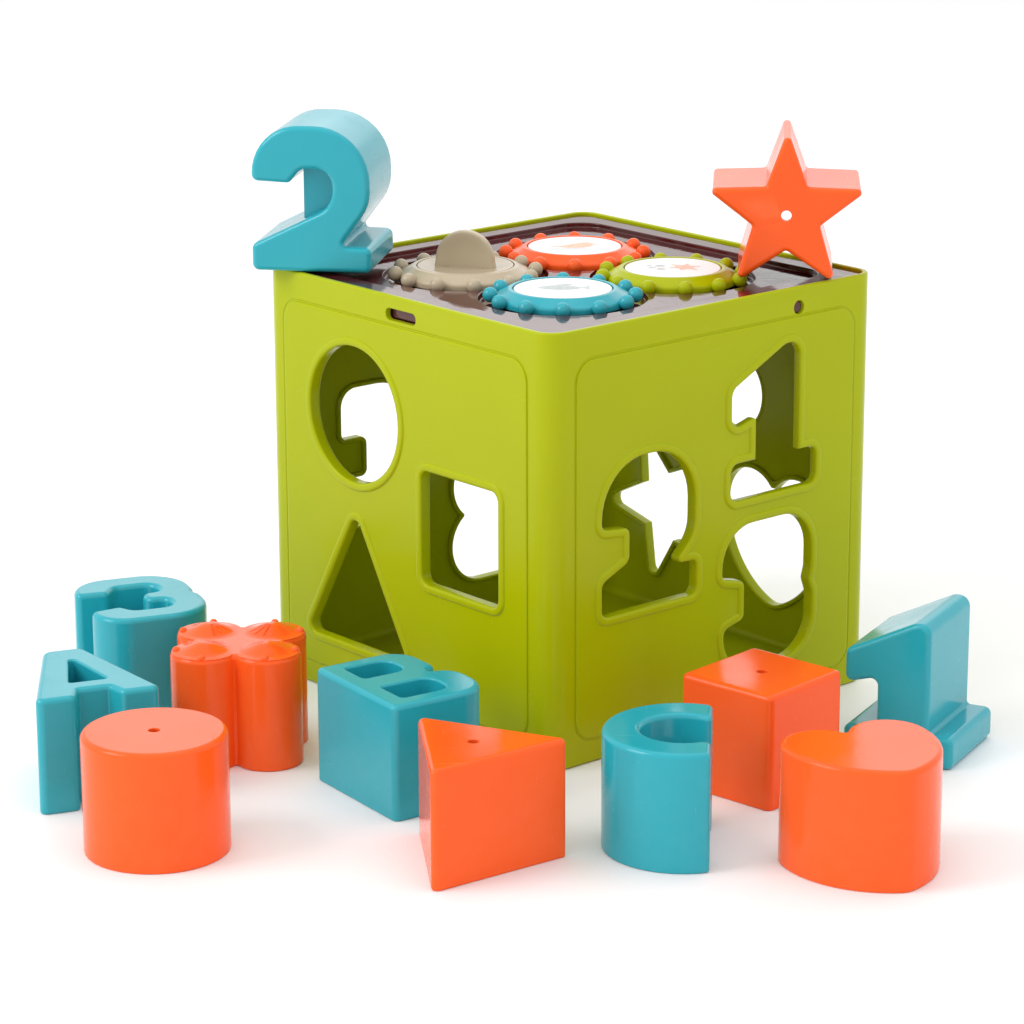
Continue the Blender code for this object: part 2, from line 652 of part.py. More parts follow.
def make_blocks():
    vent = VENT_RADIUS
    make_block("block_circle", disc, ORANGE, lying(45.9, -222.3, 48), bore=vent)
    make_block("block_triangle", TRIANGLE, ORANGE, lying(123.3, -151.4, -35), bore=vent)
    make_block("block_square", QUAD, ORANGE, lying(134.5, -31.1, 6.5), bore=vent)
    make_block("block_heart", heart, ORANGE, lying(212.8, -59.0, 73))
    make_block("block_flower", flower, ORANGE, lying(-12.5, -144.9, -42))
    make_block("block_star", STAR, ORANGE, standing(70.7, 41.5, 158.1, -44.9, 23.0), bore=vent)
    make_block("block_a", LETTER_A, TEAL, lying(-21.2, -205.8, 70), [COUNTER_A])
    make_block("block_b", LETTER_B, TEAL, lying(56.8, -126.7, 83), [COUNTER_B_LOW, COUNTER_B_HIGH])
    make_block("block_c", letter_c, TEAL, lying(152.0, -98.0, 45), fill=(-5.6, 8.4, 14.4, 6.6))
    make_block("block_1", ONE, TEAL, standing(151.4, 19.5, 0.0, -68, 26.0))
    make_block("block_2", TWO, TEAL, standing(-54.5, -77.4, 157.3, -50.5, 27.4),
               fill=(-4.5, 9.2, 11.0, -4.5))
    make_block("block_3", THREE, TEAL, lying(-79.0, -140.5, 70), fill=(-11.8, 10.1, 16.4, -11.8))


# ---------------------------------------------------------------- assembly

def main():
    for thing in list(bpy.data.objects):
        bpy.data.objects.remove(thing)
    make_box()
    hinge = bpy.data.objects.new("lid_hinge_line", None)
    hinge.location = Vector((0, HINGE_Y, HINGE_Z)) * MM
    bpy.context.scene.collection.objects.link(hinge)
    make_lid(hinge)
    make_pins()
    make_latch()
    steel = plastic("screw_steel", STEEL, 0.3, 1.0)
    taupe_at, teal_at, orange_at, lime_at = gear_places()
    other = 45 - KNOB_TURN
    make_ring("gear_taupe", taupe_at, other, TAUPE)
    make_ring("gear_teal", teal_at, KNOB_TURN, TEAL)
    make_ring("gear_orange", orange_at, KNOB_TURN, ORANGE)
    make_ring("gear_lime", lime_at, other, GREEN)
    make_grip(taupe_at)
    make_disc("disc_teal", teal_at)
    make_disc("disc_orange", orange_at)
    make_disc("disc_lime", lime_at)
    for colour, place in (("taupe", taupe_at), ("teal", teal_at), ("orange", orange_at), ("lime", lime_at)):
        make_screw("screw_" + colour, place, steel)
    make_blocks()


main()
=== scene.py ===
import json
import math

import bmesh
import bpy
from mathutils import Matrix, Vector

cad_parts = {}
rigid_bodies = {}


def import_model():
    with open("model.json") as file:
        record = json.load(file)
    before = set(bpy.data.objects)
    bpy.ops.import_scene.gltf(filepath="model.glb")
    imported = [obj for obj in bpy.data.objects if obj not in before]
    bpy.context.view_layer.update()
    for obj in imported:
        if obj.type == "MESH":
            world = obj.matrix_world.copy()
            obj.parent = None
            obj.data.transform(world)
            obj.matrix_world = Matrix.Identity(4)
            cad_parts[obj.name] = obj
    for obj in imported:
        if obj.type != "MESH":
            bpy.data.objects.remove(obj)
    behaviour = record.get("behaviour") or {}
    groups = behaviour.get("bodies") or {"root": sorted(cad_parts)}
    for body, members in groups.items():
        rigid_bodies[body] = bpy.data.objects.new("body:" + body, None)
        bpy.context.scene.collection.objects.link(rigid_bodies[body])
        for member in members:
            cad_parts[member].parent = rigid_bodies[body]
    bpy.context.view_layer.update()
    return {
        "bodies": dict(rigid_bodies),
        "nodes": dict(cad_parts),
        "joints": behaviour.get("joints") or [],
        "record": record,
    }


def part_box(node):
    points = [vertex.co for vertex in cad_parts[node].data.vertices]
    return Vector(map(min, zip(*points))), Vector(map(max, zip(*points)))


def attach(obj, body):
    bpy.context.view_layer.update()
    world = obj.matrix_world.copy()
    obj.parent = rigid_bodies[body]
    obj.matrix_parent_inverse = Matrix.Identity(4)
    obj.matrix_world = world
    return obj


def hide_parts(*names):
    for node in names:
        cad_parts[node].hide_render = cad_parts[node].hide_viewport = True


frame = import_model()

# The looks of the shape sorter. Sizes are in millimetres unless a name says otherwise.
# Frame: origin in the middle of the box's underside, +Z up, -Y the wall with the latch slot.
MM = 0.001
JOINTS = {joint["name"]: joint for joint in frame["joints"]}

# Box, from its own CAD node
BOX_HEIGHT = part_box("box_body")[1].z / MM
BEAD_RAISE = 1.2                # rim round each cut-out, above the wall
BOX_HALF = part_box("box_body")[1].x / MM - BEAD_RAISE
BOX_CORNER = 8.5
WALL = 2.2
FLOOR = 2.5
FOOT_ROUND = 1.4                # edge round the underside
RIM_ROUND = 0.8                 # outer edge of the rim
RIM_ROUND_INSIDE = 0.6
FLOOR_ROUND = 2.5               # where the inner floor meets the walls
PANEL_HALF = 68.0
PANEL_LOW = 9.0
PANEL_HIGH = 146.0
PANEL_CORNER = 8.0
HOLE_PLAY = 1.15                # room round a block in its cut-out
FLOWER_PLAY = 2.5
BEAD_WIDTH = 3.0
FLANGE_DEPTH = 3.8
FLANGE_SHORT = 2.6

# Lid
LID_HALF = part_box("lid_top")[1].x / MM
LID_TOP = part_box("lid_top")[1].z / MM
LID_SKIRT_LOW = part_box("lid_top")[0].z / MM
LID_CORNER = 5.2
LID_FIELD = LID_TOP - 1.9
LID_FIELD_HALF = 68.0
LID_FIELD_CORNER = 12.0
LID_UNDER = 149.8
LID_SKIRT = 2.2
LID_ROUND = 0.8
HINGE_Y = JOINTS["lid_hinge"]["pos_m"][1] / MM
HINGE_Z = JOINTS["lid_hinge"]["pos_m"][2] / MM
PIN_ROOM = 2.5
LATCH_HALF = 8.3
LATCH_Z = 150.2
LATCH_HEIGHT = 4.2
LATCH_PLAY = 0.3
SLOT_CORNER = 2.0
BOSS_RADIUS = 4.6               # round each hinge pin, inside the skirt
BOSS_HALF = 1.8

# Gears
WELL_RADIUS = 30.3
WELL_FLOOR = 151.9
GEAR_RADIUS = 24.4
GEAR_LOW = 152.5
GEAR_TOP = 157.7
KNOBS = 12
KNOB_ORBIT = 26.0
KNOB_RADIUS = 2.8
KNOB_Z = 155.0
KNOB_TURN = 18.33
POST_RADIUS = 3.2
POST_TOP = 154.5
POST_LOW = 144.5
DISC_RADIUS = 17.7
DISC_LOW = 156.2
DISC_TOP = 157.5
DISC_PLAY = 0.35                # between a disc and the gear round it
PRINT_SINK = 0.1
PRINT_RISE = 0.04
PRINT_TURN = 48.0               # prints read upright from the near corner of the box
SCREW_ROOM = 1.4
SCREW_HEAD = 5.2
GRIP_TURN = -56.0
GRIP_LENGTH = 22.0
GRIP_HEIGHT = 13.0
GRIP_HALF = 1.9                 # half its thickness

# Blocks
BLOCK_DEPTH = 41.0
BLOCK_WALL = 2.2
BLOCK_EDGE = 2.0
COUNTER_DEPTH = 10.0
RIB = 1.8
VENT_RADIUS = 1.9
PETAL_PLACE = 11.0              # a petal's middle, along x and along y

# Sides of the round parts
ROUND_SIDES = 96
SMALL_SIDES = 40


# ---------------------------------------------------------------- outlines

def arc(cx, cy, radius, start, end, steps):
    """Points on an arc, angles in degrees."""
    points = []
    for i in range(steps + 1):
        angle = math.radians(start + (end - start) * i / steps)
        points.append((cx + radius * math.cos(angle), cy + radius * math.sin(angle)))
    return points


def rounded(corners, grow=0.0):
    """Closed outline from anticlockwise (x, y, radius) corners, moved outwards by grow."""
    points = []
    count = len(corners)
    for i, (x, y, radius) in enumerate(corners):
        here = Vector((x, y))
        come = (here - Vector(corners[i - 1][:2])).normalized()
        leave = (Vector(corners[(i + 1) % count][:2]) - here).normalized()
        side = Vector((come.y + leave.y, -come.x - leave.x)) / (1 + come.dot(leave))
        bend = math.atan2(come.x * leave.y - come.y * leave.x, come.dot(leave))
        way = math.copysign(1.0, bend)
        size = max(0.2, radius + grow * way)
        corner = here + side * grow
        middle = corner - side * size * way
        first = math.degrees(math.atan2(-come.x * way, come.y * way))
        steps = max(3, round(abs(math.degrees(bend)) / 9))
        points += arc(middle.x, middle.y, size, first, first + math.degrees(bend), steps)
    return points


def shrunk(points, distance):
    """The outline moved inwards by distance."""
    moved = []
    count = len(points)
    for i, point in enumerate(points):
        here = Vector(point)
        come = (here - Vector(points[i - 1])).normalized()
        leave = (Vector(points[(i + 1) % count]) - here).normalized()
        side = Vector((come.y + leave.y, -come.x - leave.x)) / (1 + come.dot(leave))
        moved.append(tuple(here - side * distance))
    return moved


def square(half, corner):
    """Square with rounded corners about the origin."""
    return rectangle(half, half, corner)


def rectangle(half_x, half_y, corner, grow=0.0):
    """Rectangle with rounded corners about the origin, moved outwards by grow."""
    return rounded([(-half_x, -half_y, corner), (half_x, -half_y, corner), (half_x, half_y, corner),
                    (-half_x, half_y, corner)], grow)


def round_outline(radius, steps=72):
    """Circle about the origin."""
    return arc(0, 0, radius, 0, 360 - 360 / steps, steps - 1)


def spiked(sides, outer, corner, start, inner=None):
    """Corners of a regular polygon, or of a star when inner is given."""
    corners = []
    for i in range(sides):
        angle = math.radians(start + 360 * i / sides)
        corners.append((outer * math.cos(angle), outer * math.sin(angle), corner))
        if inner:
            angle += math.pi / sides
            corners.append((inner * math.cos(angle), inner * math.sin(angle), 1.5))
    return corners


def smooth_loop(knots, steps=8):
    """Closed curve through the knots, with no corners."""
    points = []
    count = len(knots)
    for i in range(count):
        a, b, c, d = (Vector(knots[(i + k) % count]) for k in (-1, 0, 1, 2))
        for k in range(steps):
            t = k / steps
            spot = 0.5 * (2 * b + (c - a) * t + (2 * a - 5 * b + 4 * c - d) * t * t
                          + (3 * b - a - 3 * c + d) * t * t * t)
            points.append((spot.x, spot.y))
    return points


# Anticlockwise (x, y, corner radius), seen on the block's face or from outside the wall
ONE = [(-20.5, -26.0, 2.5), (20.5, -26.0, 2.5), (20.5, -14.5, 2.5), (11.3, -14.5, 1.5),
       (11.3, 26.0, 4.0), (5.5, 26.0, 6.0), (-20.3, 13.2, 3.0), (-20.3, 0.8, 2.5),
       (-8.2, 4.2, 2.5), (-8.2, -14.5, 1.5), (-20.5, -14.5, 2.5)]

TWO = [(-22.2, -27.4, 2.5), (22.2, -27.4, 2.5), (22.2, -18.0, 2.5), (10.6, -17.8, 1.5),
       (21.9, -2.5, 16.0), (21.9, 26.2, 20.5), (-21.9, 26.2, 17.8), (-21.9, 5.7, 2.5),
       (-8.0, 5.2, 2.5), (-3.5, 10.6, 5.0), (8.1, 10.6, 6.5), (8.1, -3.0, 9.0),
       (-22.2, -17.8, 3.0)]
TWO_HOLE = [(-22.7, -27.9, 2.8), (22.8, -27.9, 2.8), (22.8, -15.2, 2.5), (12.0, -14.6, 1.5),
            (21.8, -5.0, 12.5), (21.8, 28.0, 20.5), (-22.8, 28.0, 20.5), (-22.8, 4.2, 2.5),
            (-9.8, 2.8, 2.5), (-9.8, -9.5, 4.0), (-22.7, -15.4, 3.0)]

THREE = [(-21.3, -26.4, 12.3), (21.9, -26.4, 17.0), (21.9, -3.0, 7.0), (19.8, 0.2, 2.5),
         (21.2, 3.4, 7.0), (21.2, 26.4, 17.0), (-21.5, 26.4, 14.3), (-21.5, 9.5, 2.5),
         (-10.0, 8.8, 2.5), (-6.0, 14.8, 4.0), (9.0, 14.8, 5.0), (9.0, 4.6, 3.5),
         (1.4, 4.0, 3.4), (1.4, -4.0, 3.4), (9.0, -4.6, 3.5), (9.0, -15.0, 5.0),
         (-6.0, -15.0, 4.0), (-10.0, -9.0, 2.5), (-21.3, -11.3, 2.5)]
THREE_HOLE = [(-21.9, -27.4, 14.0), (23.1, -27.4, 15.0), (23.1, -5.0, 6.0), (21.2, 0.0, 3.0),
              (22.5, 4.5, 6.0), (22.5, 27.4, 15.0), (-22.9, 27.4, 15.0), (-22.9, 8.8, 2.5),
              (-11.8, 6.2, 3.0), (-11.8, -8.2, 3.0), (-21.9, -10.6, 3.0)]

LETTER_A = [(-22.0, -26.0, 2.5), (-8.2, -26.0, 2.5), (-5.4, -18.5, 1.5), (5.4, -18.5, 1.5),
            (8.2, -26.0, 2.5), (22.0, -26.0, 2.5), (7.0, 26.0, 4.0), (-7.0, 26.0, 4.0)]
COUNTER_A = [(-6.8, -11.0, 1.2), (6.8, -11.0, 1.2), (0.0, 17.0, 1.2)]

LETTER_B = [(-19.8, -26.0, 2.5), (19.8, -26.0, 12.0), (19.8, -2.0, 9.0), (9.0, 1.2, 1.2),
            (16.0, 4.0, 4.0), (16.0, 25.5, 10.5), (-19.8, 25.5, 2.5)]
COUNTER_B_LOW = [(-12.0, -19.0, 1.5), (7.5, -19.0, 5.0), (7.5, -5.0, 5.0), (-12.0, -5.0, 1.5)]
COUNTER_B_HIGH = [(-12.0, 5.5, 1.5), (5.5, 5.5, 5.0), (5.5, 19.0, 5.0), (-12.0, 19.0, 1.5)]

LETTER_C_HOLE = [(-20.4, -27.4, 24.0), (20.4, -27.4, 7.0), (20.4, -7.9, 2.5), (8.3, -7.9, 3.0),
                 (8.3, 7.9, 3.0), (20.4, 7.9, 2.5), (20.4, 27.4, 7.0), (-20.4, 27.4, 24.0)]

TRIANGLE = spiked(3, 32.0, 2.0, 90)
STAR = spiked(5, 31.2, 1.6, 90, inner=12.8)
QUAD = [(-19.9, -19.9, 2.5), (19.9, -19.9, 2.5), (19.9, 19.9, 2.5), (-19.9, 19.9, 2.5)]


def heart(grow=0.0):
    """Two round lobes, full flanks and a blunt tip, all in arcs that meet smoothly."""
    if grow < 0:
        return shrunk(heart(), -grow)
    lobe_x = 12.4
    notch = math.degrees(math.acos(-lobe_x / (13.5 + grow))) - 6
    tip = arc(0, -17.15, 8.0 + grow, -110.9, -69.1, 8)
    flank = arc(-10.0, 9.0, 36.0 + grow, -69.1, 5.0, 20)
    lobe = arc(lobe_x, 11.0, 13.5 + grow, 5.0, notch, 24)
    right = flank[1:] + lobe[1:]
    return tip + right + [(-x, y) for x, y in reversed(right)]


def flower(grow=0.0):
    """Four round petals."""
    if grow < 0:
        return shrunk(flower(), -grow)
    petal = 12.0 + grow
    side = math.degrees(math.acos(-PETAL_PLACE / petal)) - 6 - 45
    points = []
    for i in range(4):
        turn = 45 + 90 * i
        x = PETAL_PLACE * math.sqrt(2) * math.cos(math.radians(turn))
        y = PETAL_PLACE * math.sqrt(2) * math.sin(math.radians(turn))
        points += arc(x, y, petal, turn - side, turn + side, 24)
    return points


def letter_c(grow=0.0):
    """Ring between two circles on one centre, cut off by an upright line, with softened corners."""
    middle = 9.0
    soft = 1.8
    outer = 26.4 + grow
    inner = 13.5 - grow
    cut = 9.8 + grow - soft
    wide = math.degrees(math.acos(cut / (outer - soft)))
    narrow = math.degrees(math.acos(cut / (inner + soft)))
    far = (outer - soft) * math.sin(math.radians(wide))
    near = (inner + soft) * math.sin(math.radians(narrow))
    end = arc(middle + cut, near, soft, narrow - 180, 0, 8)
    end += arc(middle + cut, far, soft, 0, wide, 5)
    back = arc(middle, 0, outer, wide, 360 - wide, 56)
    hollow = arc(middle, 0, inner, 360 - narrow, narrow, 36)
    return end + back[1:-1] + [(x, -y) for x, y in reversed(end)] + hollow[1:-1]


def letter_b_hole(grow=0.0):
    """Straight back with two round bowls that meet in a waist."""
    bowl = 13.75 + grow
    lean = math.degrees(math.atan2(0.9, 24.5))
    reach = math.degrees(math.acos(12.26 / bowl)) + 3
    low = arc(5.9, -12.1, bowl, -90, 90 + lean - reach, 28)
    high = arc(5.0, 12.4, bowl, lean + reach - 90, 90, 28)
    corner = 2.5 + grow
    back = arc(-17.3, 23.65, corner, 90, 180, 8) + arc(-17.3, -23.35, corner, 180, 270, 8)
    return low + high + back


def disc(grow=0.0):
    """The round block."""
    return round_outline(24.2 + grow)


def outline(shape, grow=0.0):
    """A shape is a list of rounded corners or a function of how far it is moved outwards."""
    if callable(shape):
        return shape(grow)
    return rounded(shape, grow)


def edge_round(radius, steps=4):
    """(inset, drop) pairs round a quarter circle, from the side of a piece to its face."""
    pairs = []
    for i in range(steps + 1):
        angle = math.radians(90 * i / steps)
        pairs.append((radius * (1 - math.cos(angle)), radius * (1 - math.sin(angle))))
    return pairs


# ---------------------------------------------------------------- solids

def loft(bm, rings, frame=None):
    """Closed solid through the rings, given as (outline, height); both ends are capped."""
    loops = []
    for points, height in rings:
        ring = [Vector((x, y, height)) for x, y in points]
        if frame:
            ring = [frame @ point for point in ring]
        loops.append([bm.verts.new(point * MM) for point in ring])
    for low, high in zip(loops, loops[1:]):
        for i in range(len(low)):
            j = (i + 1) % len(low)
            bm.faces.new((low[i], low[j], high[j], high[i]))
    bm.faces.new(list(reversed(loops[0])))
    bm.faces.new(loops[-1])


def prism(bm, points, low, high, frame=None):
    """Closed solid with one outline, from low to high."""
    loft(bm, [(points, low), (points, high)], frame)


def grown(bm, shape, profile, frame=None):
    """Closed solid of one shape; profile is (how far it is moved outwards, height) pairs."""
    loft(bm, [(outline(shape, grow), height) for grow, height in profile], frame)


def lathe(bm, profile, steps=ROUND_SIDES, frame=None):
    """Solid of revolution about Z from a closed (radius, height) profile; radius 0 is a pole."""
    frame = frame or Matrix()
    rows = []
    for radius, height in profile:
        if radius == 0:
            rows.append([bm.verts.new(frame @ Vector((0, 0, height)) * MM)] * steps)
        else:
            rows.append([bm.verts.new(frame @ Vector((x, y, height)) * MM)
                         for x, y in round_outline(radius, steps)])
    pairs = list(zip(rows, rows[1:]))
    if profile[0][0] > 0:
        pairs.append((rows[-1], rows[0]))
    for low, high in pairs:
        for i in range(steps):
            j = (i + 1) % steps
            corners = []
            for vert in (low[i], low[j], high[j], high[i]):
                if vert not in corners:
                    corners.append(vert)
            bm.faces.new(corners)


def ball(bm, radius, frame, rows=9, steps=20):
    """Sphere in rows from pole to pole."""
    profile = []
    for step in range(rows + 1):
        lean = math.radians(-90 + 180 * step / rows)
        profile.append((radius * math.cos(lean) if 0 < step < rows else 0, radius * math.sin(lean)))
    lathe(bm, profile, steps, frame)


def new_piece(name, bm, material=None, origin=(0, 0, 0), turn=None):
    """Object from a bmesh in metres about its own origin, given in millimetres."""
    bmesh.ops.recalc_face_normals(bm, faces=bm.faces)
    mesh = bpy.data.meshes.new(name)
    bm.to_mesh(mesh)
    bm.free()
    piece = bpy.data.objects.new(name, mesh)
    bpy.context.scene.collection.objects.link(piece)
    matrix = Matrix.Translation(Vector(origin) * MM)
    piece.matrix_world = matrix @ turn.to_4x4() if turn else matrix
    if material:
        mesh.materials.append(material)
    shade(mesh)
    return piece


def shade(mesh, angle=32):
    """Smooth shading, sharp where two faces meet at more than the angle."""
    mesh.shade_smooth()
    mesh.set_sharp_from_angle(angle=math.radians(angle))


def combine(piece, bm, operation):
    """Join a bmesh to a piece or take it away; it is built about the piece's own origin."""
    tool = new_piece("tool", bm)
    tool.matrix_world = piece.matrix_world
    bpy.context.view_layer.update()
    modifier = piece.modifiers.new(operation.title(), "BOOLEAN")
    modifier.operation = operation
    modifier.solver = "EXACT"
    modifier.object = tool
    graph = bpy.context.evaluated_depsgraph_get()
    result = bpy.data.meshes.new_from_object(piece.evaluated_get(graph))
    piece.modifiers.clear()
    old = piece.data
    piece.data = result
    bpy.data.meshes.remove(old)
    bpy.data.objects.remove(tool)
    weld(result)
    shade(result)


def weld(mesh):
    """Weld the slivers that a boolean can leave."""
    bm = bmesh.new()
    bm.from_mesh(mesh)
    bmesh.ops.remove_doubles(bm, verts=bm.verts, dist=0.000004)
    bmesh.ops.dissolve_degenerate(bm, edges=bm.edges, dist=0.000002)
    bm.to_mesh(mesh)
    bm.free()


def finish_piece(piece, body, slot, *nodes):
    """Weight the normals by face area, so that flat faces look flat, and hand the piece over."""
    weights = piece.modifiers.new("Weighted normals", "WEIGHTED_NORMAL")
    weights.keep_sharp = True
    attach(piece, body)
    if nodes:
        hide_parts(*nodes)
    return piece


# ---------------------------------------------------------------- materials

class Nodes:
    """Short calls for building one material's nodes."""

    def __init__(self, name):
        self.material = bpy.data.materials.new(name)
        self.material.use_nodes = True
        self.tree = self.material.node_tree
        self.shader = self.tree.nodes["Principled BSDF"]
        self.place = self.add("ShaderNodeTexCoord").outputs["Object"]

    def add(self, kind, **values):
        node = self.tree.nodes.new(kind)
        for key, value in values.items():
            setattr(node, key, value)
        return node

    def link(self, start, end):
        self.tree.links.new(start, end)

    def noise(self, scale, detail=3.0, stretch=None, rough=0.5):
        node = self.add("ShaderNodeTexNoise")
        node.inputs["Scale"].default_value = scale
        node.inputs["Detail"].default_value = detail
        node.inputs["Roughness"].default_value = rough
        source = self.place
        if stretch:
            mapping = self.add("ShaderNodeMapping")
            mapping.inputs["Scale"].default_value = stretch[0]
            mapping.inputs["Rotation"].default_value = stretch[1]
            self.link(source, mapping.inputs["Vector"])
            source = mapping.outputs["Vector"]
        self.link(source, node.inputs["Vector"])
        return node.outputs["Fac"]

    def spread(self, value, low, high, to_low, to_high):
        node = self.add("ShaderNodeMapRange")
        names = ("From Min", "From Max", "To Min", "To Max")
        for key, number in zip(names, (low, high, to_low, to_high)):
            node.inputs[key].default_value = number
        self.link(value, node.inputs["Value"])
        return node.outputs["Result"]

    def maths(self, operation, a, b):
        node = self.add("ShaderNodeMath", operation=operation)
        for socket, value in zip(node.inputs, (a, b)):
            if isinstance(value, (int, float)):
                socket.default_value = value
            else:
                self.link(value, socket)
        return node.outputs["Value"]

    def mix(self, factor, a, b):
        node = self.add("ShaderNodeMix", data_type="RGBA")
        self.link(factor, node.inputs["Factor"])
        for socket, value in ((node.inputs["A"], a), (node.inputs["B"], b)):
            if isinstance(value, tuple):
                socket.default_value = (*value, 1.0)
            else:
                self.link(value, socket)
        return node.outputs["Result"]

    def bump(self, height, strength, distance, under=None):
        node = self.add("ShaderNodeBump")
        node.inputs["Strength"].default_value = strength
        node.inputs["Distance"].default_value = distance
        self.link(height, node.inputs["Height"])
        if under:
            self.link(under, node.inputs["Normal"])
        return node.outputs["Normal"]


def moulded(name, colour, deep, worn, roughness, shine=0.4, tint=(1.0, 1.0, 1.0), ior=1.5):
    """Glossy moulded plastic: faint flow marks, orange peel, hairline scratches, rubbed edges."""
    n = Nodes(name)
    cloudy = n.spread(n.noise(22.0, 3.0), 0.3, 0.7, 0.0, 0.35)
    shade_of = n.mix(cloudy, colour, deep)
    edge = n.add("ShaderNodeNewGeometry").outputs["Pointiness"]
    edges = n.spread(edge, 0.52, 0.62, 0.0, 0.5)
    patches = n.spread(n.noise(160.0, 4.0), 0.35, 0.7, 0.2, 1.0)
    rubbed = n.maths("MULTIPLY", edges, patches)
    n.link(n.mix(rubbed, shade_of, worn), n.shader.inputs["Base Color"])
    across = n.noise(60.0, 2.0, ((1.0, 26.0, 3.0), (0.4, 0.2, 0.7)))
    hair_a = n.spread(across, 0.70, 0.74, 0.0, 1.0)
    along = n.noise(48.0, 2.0, ((24.0, 1.0, 4.0), (0.1, 0.5, -0.5)))
    hair_b = n.spread(along, 0.71, 0.75, 0.0, 1.0)
    hairs = n.maths("MAXIMUM", hair_a, hair_b)
    smudge = n.spread(n.noise(34.0, 5.0, rough=0.62), 0.35, 0.75, roughness * 0.75,
                      roughness * 1.45)
    rough = n.maths("ADD", smudge, n.maths("MULTIPLY", hairs, 0.14))
    n.link(rough, n.shader.inputs["Roughness"])
    peel = n.bump(n.noise(420.0, 2.0), 0.12, 0.0002)
    skin = n.bump(n.noise(38.0, 1.0), 0.10, 0.0012, peel)
    marks = n.bump(hairs, 0.10, 0.0001, skin)
    n.link(marks, n.shader.inputs["Normal"])
    n.shader.inputs["IOR"].default_value = ior
    n.shader.inputs["Specular IOR Level"].default_value = shine
    n.shader.inputs["Specular Tint"].default_value = (*tint, 1.0)
    return n.material


def printed(name, colour, pale):
    """Thin ink: slightly uneven cover over white."""
    n = Nodes(name)
    cover = n.spread(n.noise(900.0, 4.0), 0.35, 0.65, 0.0, 0.6)
    n.link(n.mix(cover, colour, pale), n.shader.inputs["Base Color"])
    n.link(n.spread(n.noise(300.0, 2.0), 0.3, 0.7, 0.32, 0.48), n.shader.inputs["Roughness"])
    n.link(n.bump(n.noise(1400.0, 2.0), 0.15, 0.00005), n.shader.inputs["Normal"])
    return n.material


def plated(name, colour):
    """Zinc-plated steel, drawn along its length."""
    n = Nodes(name)
    grain = n.noise(120.0, 3.0, ((1.0, 14.0, 14.0), (0.0, 0.0, 0.0)))
    darker = tuple(0.6 * part for part in colour)
    streaks = n.spread(grain, 0.3, 0.7, 0.0, 1.0)
    n.link(n.mix(streaks, colour, darker), n.shader.inputs["Base Color"])
    n.link(n.spread(grain, 0.3, 0.7, 0.25, 0.45), n.shader.inputs["Roughness"])
    n.link(n.bump(grain, 0.2, 0.0001), n.shader.inputs["Normal"])
    n.shader.inputs["Metallic"].default_value = 1.0
    return n.material


def paper_floor():
    """Matt white paper."""
    n = Nodes("studio_floor")
    white = n.mix(n.noise(3.0, 2.0), (0.93, 0.93, 0.93), (0.95, 0.95, 0.95))
    n.link(white, n.shader.inputs["Base Color"])
    n.link(n.spread(n.noise(40.0, 2.0), 0.3, 0.7, 0.55, 0.65), n.shader.inputs["Roughness"])
    return n.material


# name, colour, deeper patches, worn edges, roughness, shine, tint of the shine, index of refraction
GREEN = moulded("moulded_green", (0.400, 0.455, 0.002), (0.365, 0.420, 0.001), (0.49, 0.54, 0.03),
                0.19, 0.14)
PLUM = moulded("moulded_plum", (0.070, 0.011, 0.013), (0.055, 0.009, 0.011), (0.12, 0.04, 0.05),
               0.07, 0.42, (1.0, 0.86, 0.74), 1.6)
TAUPE = moulded("moulded_taupe", (0.50, 0.41, 0.28), (0.44, 0.36, 0.24), (0.62, 0.53, 0.40),
                0.18, 0.35)
TEAL = moulded("moulded_teal", (0.020, 0.375, 0.450), (0.014, 0.330, 0.400), (0.12, 0.50, 0.57),
               0.17, 0.38)
ORANGE = moulded("moulded_orange", (0.98, 0.115, 0.014), (0.92, 0.095, 0.009), (1.0, 0.22, 0.08),
                 0.16, 0.25)
WHITE = moulded("moulded_white", (0.86, 0.83, 0.82), (0.82, 0.79, 0.78), (0.9, 0.9, 0.9), 0.30)
STEEL = plated("plated_steel", (0.62, 0.62, 0.60))
INK_GREY = printed("ink_grey", (0.40, 0.47, 0.46), (0.62, 0.66, 0.65))
INK_ORANGE = printed("ink_orange", (0.80, 0.38, 0.24), (0.86, 0.60, 0.48))
INK_TAN = printed("ink_tan", (0.74, 0.44, 0.27), (0.84, 0.66, 0.54))


# ---------------------------------------------------------------- box

def face_frame(side, middle, turn=0.0):
    """Frame on a wall: X to the right seen from outside, Y up, Z outwards from the wall's face."""
    angle = {"front": 0, "right": 90, "back": 180, "left": 270}[side]
    upright = Matrix(((1, 0, 0), (0, 0, -1), (0, 1, 0))).to_4x4()
    around = Matrix.Rotation(math.radians(angle), 4, "Z")
    wall = around @ Matrix.Translation((0, -BOX_HALF, 0)) @ upright
    spin = Matrix.Rotation(math.radians(turn), 4, "Z")
    return wall @ Matrix.Translation((middle[0], middle[1], 0)) @ spin


